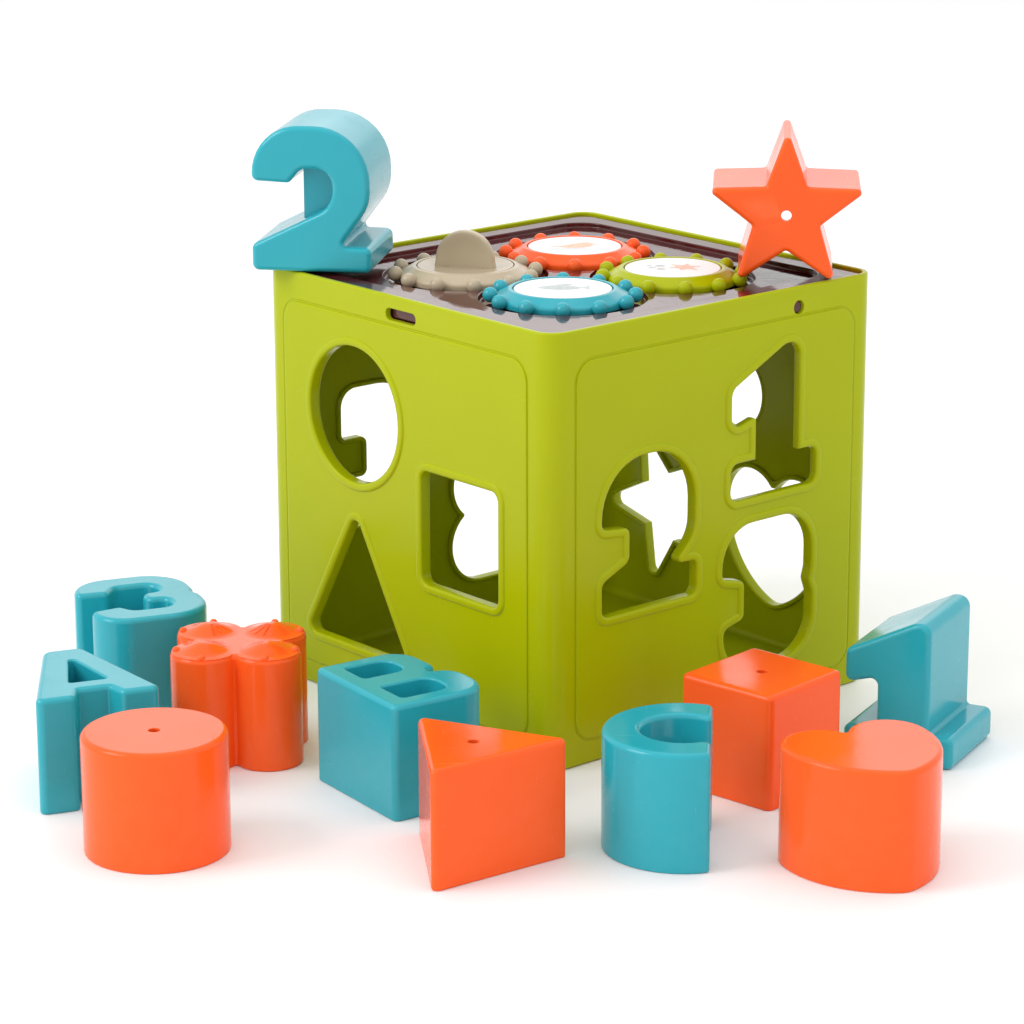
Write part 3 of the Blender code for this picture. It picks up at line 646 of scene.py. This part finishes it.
# wall, shape, room round the block, place on the wall, turn, depth of the flange inside
CUTOUTS = [
    ("front", disc, HOLE_PLAY, (-26.8, 109.6), 0, FLANGE_DEPTH),
    ("front", QUAD, HOLE_PLAY, (32.4, 75.5), 0, FLANGE_DEPTH),
    ("front", TRIANGLE, HOLE_PLAY, (-26.5, 38.4), 0, FLANGE_DEPTH),
    ("right", ONE, HOLE_PLAY, (27.3, 110.1), 0, FLANGE_SHORT),
    ("right", TWO_HOLE, 0.0, (-33.7, 80.2), 0, FLANGE_DEPTH),
    ("right", THREE_HOLE, 0.0, (25.0, 46.0), 0, FLANGE_DEPTH),
    ("back", flower, FLOWER_PLAY, (2.0, 110.5), 0, FLANGE_SHORT),
    ("back", STAR, HOLE_PLAY, (29.5, 45.4), -96, FLANGE_DEPTH),
    ("back", heart, HOLE_PLAY, (-31.5, 45.0), 0, FLANGE_DEPTH),
    ("left", LETTER_A, HOLE_PLAY, (-27.0, 110.0), 0, FLANGE_SHORT),
    ("left", letter_b_hole, HOLE_PLAY, (-28.0, 43.0), 0, FLANGE_DEPTH),
    ("left", LETTER_C_HOLE, 0.0, (27.0, 76.5), 0, FLANGE_DEPTH),
]


def box_walls():
    """The tub itself, with rounded edges at the foot, the rim and the inner floor."""
    bm = bmesh.new()
    inner = BOX_HALF - WALL
    inner_corner = BOX_CORNER - WALL
    rings = []
    for inset, drop in reversed(edge_round(FOOT_ROUND)):
        rings.append((square(BOX_HALF - inset, BOX_CORNER - inset), drop))
    for inset, drop in edge_round(RIM_ROUND, 3):
        rings.append((square(BOX_HALF - inset, BOX_CORNER - inset), BOX_HEIGHT - drop))
    for inset, drop in reversed(edge_round(RIM_ROUND_INSIDE, 3)):
        rings.append((square(inner + inset, inner_corner + inset), BOX_HEIGHT - drop))
    for inset, drop in edge_round(FLOOR_ROUND):
        rings.append((square(inner - inset, max(0.5, inner_corner - inset)), FLOOR + drop))
    loft(bm, rings)
    return bm


def box_panels(profile):
    """A slab over the field of each wall; profile is (how far it is moved out, height) pairs."""
    bm = bmesh.new()
    middle = (0, (PANEL_LOW + PANEL_HIGH) / 2)
    tall = (PANEL_HIGH - PANEL_LOW) / 2
    for side in ("front", "right", "back", "left"):
        grown(bm, lambda grow: rectangle(PANEL_HALF, tall, PANEL_CORNER, grow), profile,
              face_frame(side, middle))
    return bm


def cut_out(box, side, shape, play, place, turn, depth):
    """A bead outside and a flange inside, joined to the wall, then the opening through them."""
    wall = face_frame(side, place, turn)
    wide = play + BEAD_WIDTH
    rim = [(play + 1.3, -depth), (play + 1.8, 0.4 - depth), (play + 2.0, -1.2), (wide + 0.35, 0.3),
           (wide + 0.12, 0.46), (wide - 0.02, 0.72), (wide - 0.22, 0.95), (wide - 0.55, 1.12),
           (wide - 1.0, BEAD_RAISE)]
    opening = [(play + 0.5, -8.0), (play + 0.5, -depth - 0.02), (play + 0.12, 0.4 - depth),
               (play, 0.9 - depth), (play, 0.1), (play + 0.12, 0.6), (play + 0.4, 0.95),
               (play + 0.85, 1.14), (play + 1.3, 1.21), (play + 1.3, 4.0)]
    for profile, operation in ((rim, "UNION"), (opening, "DIFFERENCE")):
        bm = bmesh.new()
        grown(bm, shape, profile, wall)
        combine(box, bm, operation)


def make_box():
    """The tub with its panels and cut-outs, and the holes for the latch and the hinge pins."""
    box = new_piece("box_tub", box_walls(), GREEN)
    groove = [(0.6, -0.25), (1.0, 0.01), (1.0, 2.0)]
    panel = [(0.0, -1.0), (0.0, 0.02), (-0.08, 0.16), (-0.28, 0.29), (-0.6, 0.37), (-1.0, 0.4)]
    combine(box, box_panels(groove), "DIFFERENCE")
    combine(box, box_panels(panel), "UNION")
    for cutout in CUTOUTS:
        cut_out(box, *cutout)
    holes = bmesh.new()
    tall = LATCH_HEIGHT / 2
    slot = ((0.0, -4.0), (0.0, -0.5), (0.12, -0.18), (0.45, 0.01), (0.45, 3.0))
    grown(holes, lambda grow: rectangle(LATCH_HALF, tall, SLOT_CORNER, grow), slot,
          face_frame("front", (0, LATCH_Z)))
    bore = ((0.0, -4.0), (0.0, -0.4), (0.1, -0.14), (0.35, 0.01), (0.35, 3.0))
    for side, place in (("right", HINGE_Y), ("left", -HINGE_Y)):
        grown(holes, lambda grow: round_outline(PIN_ROOM + grow, SMALL_SIDES), bore,
              face_frame(side, (place, HINGE_Z)))
    combine(box, holes, "DIFFERENCE")
    finish_piece(box, "box", "green", "box_body")


# ---------------------------------------------------------------- lid

def gear_places():
    """(x, y) of each gear's axis, by colour."""
    return {colour: tuple(value / MM for value in JOINTS["gear_" + colour + "_spin"]["pos_m"][:2])
            for colour in ("taupe", "teal", "orange", "lime")}


def sunk(bm, shape, floor, top, frame=None, foot=0.5, lip=0.5):
    """Cutter for a recess with a rounded foot and lip; shape takes how far it is moved out."""
    rings = []
    for inset, drop in reversed(edge_round(foot, 3)):
        rings.append((shape(-inset), floor + drop))
    for inset, drop in edge_round(lip, 3):
        rings.append((shape(inset), top - drop))
    rings.append((shape(lip), top + 0.001))
    rings.append((shape(lip), top + 3.0))
    loft(bm, rings, frame)


def make_lid():
    """The lid with its skirt, a sunk field and four wells, and a post for each gear."""
    bm = bmesh.new()
    inner = LID_HALF - LID_SKIRT
    inner_corner = LID_CORNER - LID_SKIRT
    rings = [(square(inner - 0.8, inner_corner - 0.8), LID_UNDER),
             (square(inner, inner_corner), LID_UNDER - 1.0),
             (square(inner, inner_corner), LID_SKIRT_LOW),
             (square(LID_HALF, LID_CORNER), LID_SKIRT_LOW)]
    for inset, drop in edge_round(LID_ROUND, 4):
        rings.append((square(LID_HALF - inset, LID_CORNER - inset), LID_TOP - drop))
    loft(bm, rings)
    lid = new_piece("lid_panel", bm, PLUM)
    sideways = Matrix.Rotation(math.radians(90), 4, "Y")
    bosses = bmesh.new()
    for way in (-1, 1):
        boss = Matrix.Translation((way * (inner - 1.0), HINGE_Y, HINGE_Z)) @ sideways
        prism(bosses, round_outline(BOSS_RADIUS, SMALL_SIDES), -BOSS_HALF, BOSS_HALF, boss)
    combine(lid, bosses, "UNION")
    field = bmesh.new()
    sunk(field, lambda grow: square(LID_FIELD_HALF + grow, LID_FIELD_CORNER + grow),
         LID_FIELD, LID_TOP)
    combine(lid, field, "DIFFERENCE")
    for x, y in gear_places().values():
        well = bmesh.new()
        sunk(well, lambda grow: round_outline(WELL_RADIUS + grow, 120), WELL_FLOOR, LID_FIELD,
             Matrix.Translation((x, y, 0)), foot=0.6)
        combine(lid, well, "DIFFERENCE")
    posts = bmesh.new()
    bores = bmesh.new()
    for x, y in gear_places().values():
        place = Matrix.Translation((x, y, 0))
        prism(posts, round_outline(POST_RADIUS, SMALL_SIDES), POST_LOW, POST_TOP, place)
        prism(bores, round_outline(SCREW_ROOM, 24), POST_LOW + 1.5, POST_TOP + 1.0, place)
    combine(lid, posts, "UNION")
    for way in (-1, 1):
        bore = Matrix.Translation((way * inner, HINGE_Y, HINGE_Z)) @ sideways
        prism(bores, round_outline(PIN_ROOM, SMALL_SIDES), -6.0, 6.0, bore)
    low = LATCH_Z - LATCH_HEIGHT / 2
    high = LATCH_Z + LATCH_HEIGHT / 2
    prism(bores, rectangle(LATCH_HALF - 0.3, 3.5, 0.4), low, high,
          Matrix.Translation((0, -LID_HALF, 0)))
    combine(lid, bores, "DIFFERENCE")
    pocket = bmesh.new()
    room = Matrix.Translation((0, LID_SKIRT + 3.6 - LID_HALF, 0))
    prism(pocket, rectangle(LATCH_HALF + 2.4, 3.2, 0.4), LID_SKIRT_LOW + 2.0, high, room)
    combine(lid, pocket, "DIFFERENCE")
    finish_piece(lid, "lid", "plum", "lid_top")


def make_latch():
    """Tongue that shows in the slot, and a wider foot behind the lid's skirt."""
    high = LATCH_HEIGHT / 2 - LATCH_PLAY
    low = -high
    foot = LATCH_HALF + 1.8
    tongue = LATCH_HALF - 0.7
    step = 3.3                  # from the tongue's tip back to the foot
    back = 5.2
    shape = [(-tongue, 0.0, 0.9), (tongue, 0.0, 0.9), (tongue, step, 0.2), (foot, step, 0.4),
             (foot, back, 0.4), (-foot, back, 0.4), (-foot, step, 0.4), (-tongue, step, 0.2)]
    bm = bmesh.new()
    rings = [(rounded(shape, -inset), low + drop) for inset, drop in reversed(edge_round(0.35, 3))]
    rings += [(rounded(shape, -inset), high - drop) for inset, drop in edge_round(0.35, 3)]
    loft(bm, rings)
    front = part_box("latch_tab")[0].y / MM
    tab = new_piece("latch_tongue", bm, PLUM, (0, front, LATCH_Z))
    finish_piece(tab, "latch", "plum", "latch_tab")


def make_pins():
    """Hinge pins with a chamfered end that shows in the wall."""
    for side in ("left", "right"):
        low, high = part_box("hinge_pin_" + side)
        middle = (low + high) / 2 / MM
        half = (high.x - low.x) / 2 / MM
        radius = (high.z - low.z) / 2 / MM
        bm = bmesh.new()
        rings = []
        for inset, drop in reversed(edge_round(0.5, 3)):
            rings.append((round_outline(radius - inset, SMALL_SIDES), drop - half))
        for inset, drop in edge_round(0.5, 3):
            rings.append((round_outline(radius - inset, SMALL_SIDES), half - drop))
        loft(bm, rings, Matrix.Rotation(math.radians(90), 4, "Y"))
        pin = new_piece("pin_" + side, bm, PLUM, middle)
        finish_piece(pin, "lid", "plum", "hinge_pin_" + side)


# ---------------------------------------------------------------- gears

def make_ring(colour, place, phase, material, slot):
    """Knobbed gear: a sloping rim round a recess, with round knobs at its foot."""
    rim = DISC_RADIUS + DISC_PLAY
    bore = POST_RADIUS + 0.4
    hub = SCREW_HEAD + 1.2
    floor = DISC_LOW - 0.3
    web = GEAR_LOW + 1.7
    flank = [(bore, GEAR_LOW), (GEAR_RADIUS - 0.5, GEAR_LOW), (GEAR_RADIUS - 0.15, GEAR_LOW + 0.15),
             (GEAR_RADIUS, GEAR_LOW + 0.5), (GEAR_RADIUS, 154.2), (GEAR_RADIUS - 0.2, 154.8),
             (GEAR_RADIUS - 0.7, 155.3)]
    slope = [(22.2, 156.1), (20.6, 156.9), (19.9, 157.35), (19.4, 157.6), (18.9, GEAR_TOP)]
    recess = [(rim + 0.4, GEAR_TOP), (rim + 0.1, GEAR_TOP - 0.12), (rim, GEAR_TOP - 0.4),
              (rim, floor), (hub, floor), (hub, web), (bore, web)]
    bm = bmesh.new()
    lathe(bm, flank + slope + recess)
    ring = new_piece("ring_" + colour, bm, material, (*place, 0))
    knobs = bmesh.new()
    for i in range(KNOBS):
        angle = math.radians(phase + 360 * i / KNOBS)
        spot = (KNOB_ORBIT * math.cos(angle), KNOB_ORBIT * math.sin(angle), KNOB_Z)
        ball(knobs, KNOB_RADIUS, Matrix.Translation(spot))
    combine(ring, knobs, "UNION")
    finish_piece(ring, "gear_" + colour, slot, "gear_" + colour)


def make_disc(colour, place, prints):
    """White disc with a soft rim, and thin prints on it; each print is (outline, material)."""
    bm = bmesh.new()
    rings = [(round_outline(DISC_RADIUS - 0.2, ROUND_SIDES), DISC_LOW),
             (round_outline(DISC_RADIUS, ROUND_SIDES), DISC_LOW + 0.2)]
    for inset, drop in edge_round(0.5, 4):
        rings.append((round_outline(DISC_RADIUS - inset, ROUND_SIDES), DISC_TOP - drop))
    loft(bm, rings)
    plate = new_piece("plate_" + colour, bm, WHITE, (*place, 0))
    finish_piece(plate, "gear_" + colour, "white", "disc_" + colour)
    for number, (points, material) in enumerate(prints):
        bm = bmesh.new()
        prism(bm, points, DISC_TOP - PRINT_SINK, DISC_TOP + PRINT_RISE)
        ink = new_piece("print_%s_%d" % (colour, number + 1), bm, material, (*place, 0),
                        Matrix.Rotation(math.radians(PRINT_TURN), 3, "Z"))
        finish_piece(ink, "gear_" + colour, "white")


def fish_print():
    """A plain fish: body with a forked tail, and a fin."""
    body = smooth_loop([(-9.0, 0.5), (-5.0, 3.6), (0.5, 4.2), (5.0, 2.0), (7.0, 1.0), (10.0, 3.8),
                        (9.2, 0.2), (10.0, -3.4), (7.0, -0.6), (4.0, -2.6), (-1.0, -3.4),
                        (-6.0, -2.2)])
    fin = smooth_loop([(-2.5, 4.6), (1.0, 6.6), (3.4, 5.8), (1.8, 4.4)])
    return [(body, INK_GREY), (fin, INK_GREY)]


def bird_print():
    """A plain sitting bird, and a twig under it."""
    body = smooth_loop([(-9.5, -2.0), (-5.0, -0.6), (-1.0, 2.6), (2.6, 5.4), (5.6, 5.6), (7.2, 3.4),
                        (9.4, 2.6), (7.2, 1.6), (6.0, -1.6), (2.6, -4.0), (-2.4, -4.2),
                        (-5.6, -2.8)])
    twig = smooth_loop([(-8.0, -6.4), (0.0, -5.8), (8.0, -6.6), (8.2, -7.2), (0.0, -6.6),
                        (-8.0, -7.2)])
    return [(body, INK_TAN), (twig, INK_GREY)]


def leaf_print():
    """An autumn leaf and a few grey dots."""
    leaf = smooth_loop([(9.0, -4.6), (5.4, -3.2), (2.8, -4.6), (2.2, -1.8), (-1.4, -0.8),
                        (1.2, 1.4), (-0.4, 5.0), (3.6, 3.6), (5.6, 6.2), (6.8, 2.8),
                        (10.2, 2.4), (7.6, -0.4)])
    prints = [(leaf, INK_ORANGE)]
    dots = ((-4.6, 2.6, 1.9), (-7.6, -0.4, 1.5), (-4.4, -3.0, 1.7), (-8.6, 3.4, 1.0))
    for x, y, radius in dots:
        prints.append(([(x + u, y + v) for u, v in round_outline(radius, 24)], INK_GREY))
    return prints


def make_grip(place):
    """Dished dial with an upright half-round grip on it."""
    edge = DISC_RADIUS
    profile = [(0, DISC_LOW), (edge - 0.2, DISC_LOW), (edge, DISC_LOW + 0.2), (edge, DISC_TOP),
               (edge - 0.3, 157.65), (edge - 0.9, 157.7), (edge - 1.8, 157.55),
               (edge - 3.5, 157.2), (11.0, 156.85), (7.0, 156.75), (0, 156.7)]
    bm = bmesh.new()
    lathe(bm, profile)
    turn = Matrix.Rotation(math.radians(GRIP_TURN + 90), 3, "Z")
    grip = new_piece("dial_with_grip", bm, TAUPE, (*place, 0), turn)
    half = GRIP_LENGTH / 2
    low = DISC_LOW + 0.2
    rise = DISC_TOP + GRIP_HEIGHT - half - low
    upright = Matrix.Translation((0, 0, low)) @ Matrix.Rotation(math.radians(90), 4, "X")

    def slab(shrink):
        foot = half - shrink + 0.6
        return [(-foot, 0), (foot, 0)] + arc(0, rise, half - shrink, 0, 180, 48)

    dish = [(2.0, 0.1), (3.2, 0.45), (5.0, 0.85), (7.5, 1.15)]
    front = edge_round(0.8) + dish
    rings = [(slab(inset), drop - GRIP_HALF) for inset, drop in reversed(front)]
    rings += [(slab(inset), GRIP_HALF - drop) for inset, drop in front]
    fin = bmesh.new()
    loft(fin, rings, upright)
    combine(grip, fin, "UNION")
    finish_piece(grip, "gear_taupe", "taupe", "dial_grip")


# ---------------------------------------------------------------- blocks

def make_block(name, shape, material, slot, matrix, pockets=(), bore=0.0, fill=None, extra=None):
    """Hollow block moulded in one piece: a face and a wall round it, open at the back.

    fill closes a notch below the face: (left, right, half height, left side of its wall).
    """
    deep = BLOCK_DEPTH
    floor = deep - COUNTER_DEPTH
    inner = outline(shape, -BLOCK_WALL)
    rings = [(inner, deep - BLOCK_WALL), (inner, 0.0), (outline(shape, -0.8), 0.0),
             (outline(shape, -0.25), 0.15), (outline(shape), 0.7)]
    rings += [(outline(shape, -inset), deep - drop) for inset, drop in edge_round(BLOCK_EDGE, 5)]
    bm = bmesh.new()
    loft(bm, rings)
    block = new_piece(name, bm, material)
    if fill:
        left, right, tall, wall = fill
        plate = (left, right, floor - RIB, floor)
        upright = (wall, wall + RIB, 0.5, floor - 1.0)
        for start, end, low, high in (plate, upright):
            corners = [(start, -tall, 0.4), (end, -tall, 0.4), (end, tall, 0.4), (start, tall, 0.4)]
            rib = bmesh.new()
            prism(rib, rounded(corners), low, high)
            combine(block, rib, "UNION")
    if pockets:
        wells = bmesh.new()
        cores = bmesh.new()
        for corners in pockets:
            prism(wells, rounded(corners, RIB), floor - RIB, deep - 1.0)
            sunk(cores, lambda grow: rounded(corners, grow), floor, deep, foot=0.6, lip=0.9)
        combine(block, wells, "UNION")
        combine(block, cores, "DIFFERENCE")
    if bore:
        hole = bmesh.new()
        sunk(hole, lambda grow: round_outline(bore + grow, 32), deep - 5.0, deep, foot=0.1, lip=0.3)
        combine(block, hole, "DIFFERENCE")
    if extra:
        extra(block)
    block.matrix_world = matrix
    finish_piece(block, name.replace("moulded_", ""), slot, name.replace("moulded_", ""))


def petal_relief(block):
    """On each petal a soft dome, two buds at its outer ends and fanned creases to the middle."""
    reach = PETAL_PLACE * math.sqrt(2)
    rise = 3.0
    spread = 11.0
    bud = 1.4
    curve = [(radius, rise * (0.5 + 0.5 * math.cos(math.pi * radius / spread)))
             for radius in (10.6, 9.6, 8.6, 7.6, 6.6, 5.6, 4.6, 3.6, 2.6, 1.6, 0.7)]
    dome = [(0, -4.0), (8.0, -4.0), (11.4, -0.2)] + curve + [(0, rise)]
    tilt = Matrix.Rotation(math.radians(109), 4, "Y")
    domes, buds, creases = bmesh.new(), bmesh.new(), bmesh.new()
    for i in range(4):
        angle = 45 + 90 * i
        outwards = Matrix.Rotation(math.radians(angle), 4, "Z")
        middle = outwards @ Vector((reach, 0, BLOCK_DEPTH))
        lathe(domes, dome, 64, Matrix.Translation(middle))
        for lean in (-45, 45):
            aside = Matrix.Rotation(math.radians(angle + lean), 4, "Z") @ Vector((9.8, 0, -0.1))
            ball(buds, bud, Matrix.Translation(middle + aside))
        for lean in (-28, 0, 28):
            turn = Matrix.Rotation(math.radians(angle + 180 + lean), 4, "Z") @ tilt
            line = Matrix.Translation(middle + Vector((0, 0, rise + 0.35))) @ turn
            loft(creases, [(round_outline(0.25, 12), 1.5), (round_outline(0.5, 12), 8.5)], line)
    combine(block, domes, "UNION")
    combine(block, buds, "UNION")
    combine(block, creases, "DIFFERENCE")


def lying(x, y, right):
    """Matrix of a block on its back; right is the azimuth of its own right-hand side."""
    return Matrix.Translation(Vector((x, y, 0)) * MM) @ Matrix.Rotation(math.radians(right), 4, "Z")


def standing(x, y, low, facing, foot):
    """Matrix of a block on edge: x, y is the foot of its face, facing the azimuth it looks to."""
    upright = Matrix(((1, 0, 0), (0, 0, -1), (0, 1, 0))).to_4x4()
    turn = Matrix.Rotation(math.radians(facing + 90), 4, "Z")
    spot = Vector((x, y, low + foot)) * MM
    return Matrix.Translation(spot) @ turn @ upright @ Matrix.Translation((0, 0, -BLOCK_DEPTH * MM))


def make_blocks():
    """Six picture blocks and six sign blocks, placed round the box and on it."""
    vent = VENT_RADIUS
    plain = (ORANGE, "orange")
    sign = (TEAL, "teal")
    make_block("moulded_block_circle", disc, *plain, lying(45.9, -222.3, 48), bore=vent)
    make_block("moulded_block_triangle", TRIANGLE, *plain, lying(123.3, -151.4, -35), bore=vent)
    make_block("moulded_block_square", QUAD, *plain, lying(134.5, -31.1, 6.5), bore=vent)
    make_block("moulded_block_heart", heart, *plain, lying(212.8, -59.0, 73))
    make_block("moulded_block_flower", flower, *plain, lying(-12.5, -144.9, -42),
               extra=petal_relief)
    make_block("moulded_block_star", STAR, *plain, standing(70.7, 41.5, 158.1, -44.9, 23.0),
               bore=vent)
    make_block("moulded_block_a", LETTER_A, *sign, lying(-21.2, -205.8, 70), [COUNTER_A])
    make_block("moulded_block_b", LETTER_B, *sign, lying(56.8, -126.7, 83),
               [COUNTER_B_LOW, COUNTER_B_HIGH])
    make_block("moulded_block_c", letter_c, *sign, lying(152.0, -98.0, 45),
               fill=(-5.6, 8.4, 14.4, 6.6))
    make_block("moulded_block_1", ONE, *sign, standing(151.4, 19.5, 0.0, -68, 26.0))
    make_block("moulded_block_2", TWO, *sign, standing(-54.5, -77.4, 157.3, -50.5, 27.4),
               fill=(-4.5, 9.2, 11.0, -4.5))
    make_block("moulded_block_3", THREE, *sign, lying(-79.0, -140.5, 70),
               fill=(-11.8, 10.1, 16.4, -11.8))


# ---------------------------------------------------------------- studio

def make_floor():
    """A wide slab whose top lies just under the blocks."""
    half = 6000
    corner = 500
    bm = bmesh.new()
    prism(bm, square(half, corner), -20.0, -0.02)
    floor = new_piece("studio_floor", bm, paper_floor())


def area_light(name, place, aim, size, power, colour=(1, 1, 1)):
    """Rectangular light; place, aim and size are in metres, power in watts."""
    data = bpy.data.lights.new(name, "AREA")
    data.shape = "RECTANGLE"
    data.size, data.size_y = size
    data.energy = power
    data.color = colour
    light = bpy.data.objects.new(name, data)
    light.location = place
    light.rotation_euler = (Vector(aim) - Vector(place)).to_track_quat("-Z", "Y").to_euler()
    bpy.context.scene.collection.objects.link(light)


def make_studio():
    """White floor, white surroundings and three soft lights."""
    make_floor()
    world = bpy.data.worlds.new("studio")
    world.use_nodes = True
    background = world.node_tree.nodes["Background"]
    background.inputs["Color"].default_value = (1.0, 1.0, 1.0, 1.0)
    background.inputs["Strength"].default_value = 1.0
    bpy.context.scene.world = world
    bpy.context.scene.view_settings.view_transform = "Standard"
    area_light("key", (-0.55, -1.35, 1.15), (0, 0, 0.06), (0.9, 0.9), 12.0)
    area_light("top", (0.1, 0.1, 1.6), (0, 0, 0.1), (1.2, 1.2), 3.0)
    area_light("back", (-1.1, 1.2, 0.9), (0, 0, 0.15), (1.4, 0.8), 2.0)


def make_camera():
    """The camera looks along the diagonal of the box, 15.6 degrees down."""
    data = bpy.data.cameras.new("view")
    data.lens = 121.69
    data.sensor_width = 36.0
    data.shift_x = -0.0421
    data.shift_y = -0.0090
    data.clip_end = 50.0
    camera = bpy.data.objects.new("view", data)
    camera.location = (0.93185, -0.83234, 0.41710)
    look = Vector((-0.72076, 0.63854, -0.26976))
    camera.rotation_euler = look.to_track_quat("-Z", "Y").to_euler()
    bpy.context.scene.collection.objects.link(camera)
    bpy.context.scene.camera = camera


def main():
    """Everything in a fixed order; neighbouring gears are turned so that their knobs mesh."""
    make_camera()
    make_studio()
    make_box()
    make_lid()
    make_latch()
    make_pins()
    places = gear_places()
    other = 45 - KNOB_TURN
    make_ring("taupe", places["taupe"], other, TAUPE, "taupe")
    make_ring("teal", places["teal"], KNOB_TURN, TEAL, "teal")
    make_ring("orange", places["orange"], KNOB_TURN, ORANGE, "orange")
    make_ring("lime", places["lime"], other, GREEN, "green")
    make_grip(places["taupe"])
    make_disc("teal", places["teal"], fish_print())
    make_disc("orange", places["orange"], bird_print())
    make_disc("lime", places["lime"], leaf_print())
    for colour in places:
        screw = frame["nodes"]["screw_" + colour]
        screw.data.materials.clear()
        screw.data.materials.append(STEEL)
    make_blocks()


main()
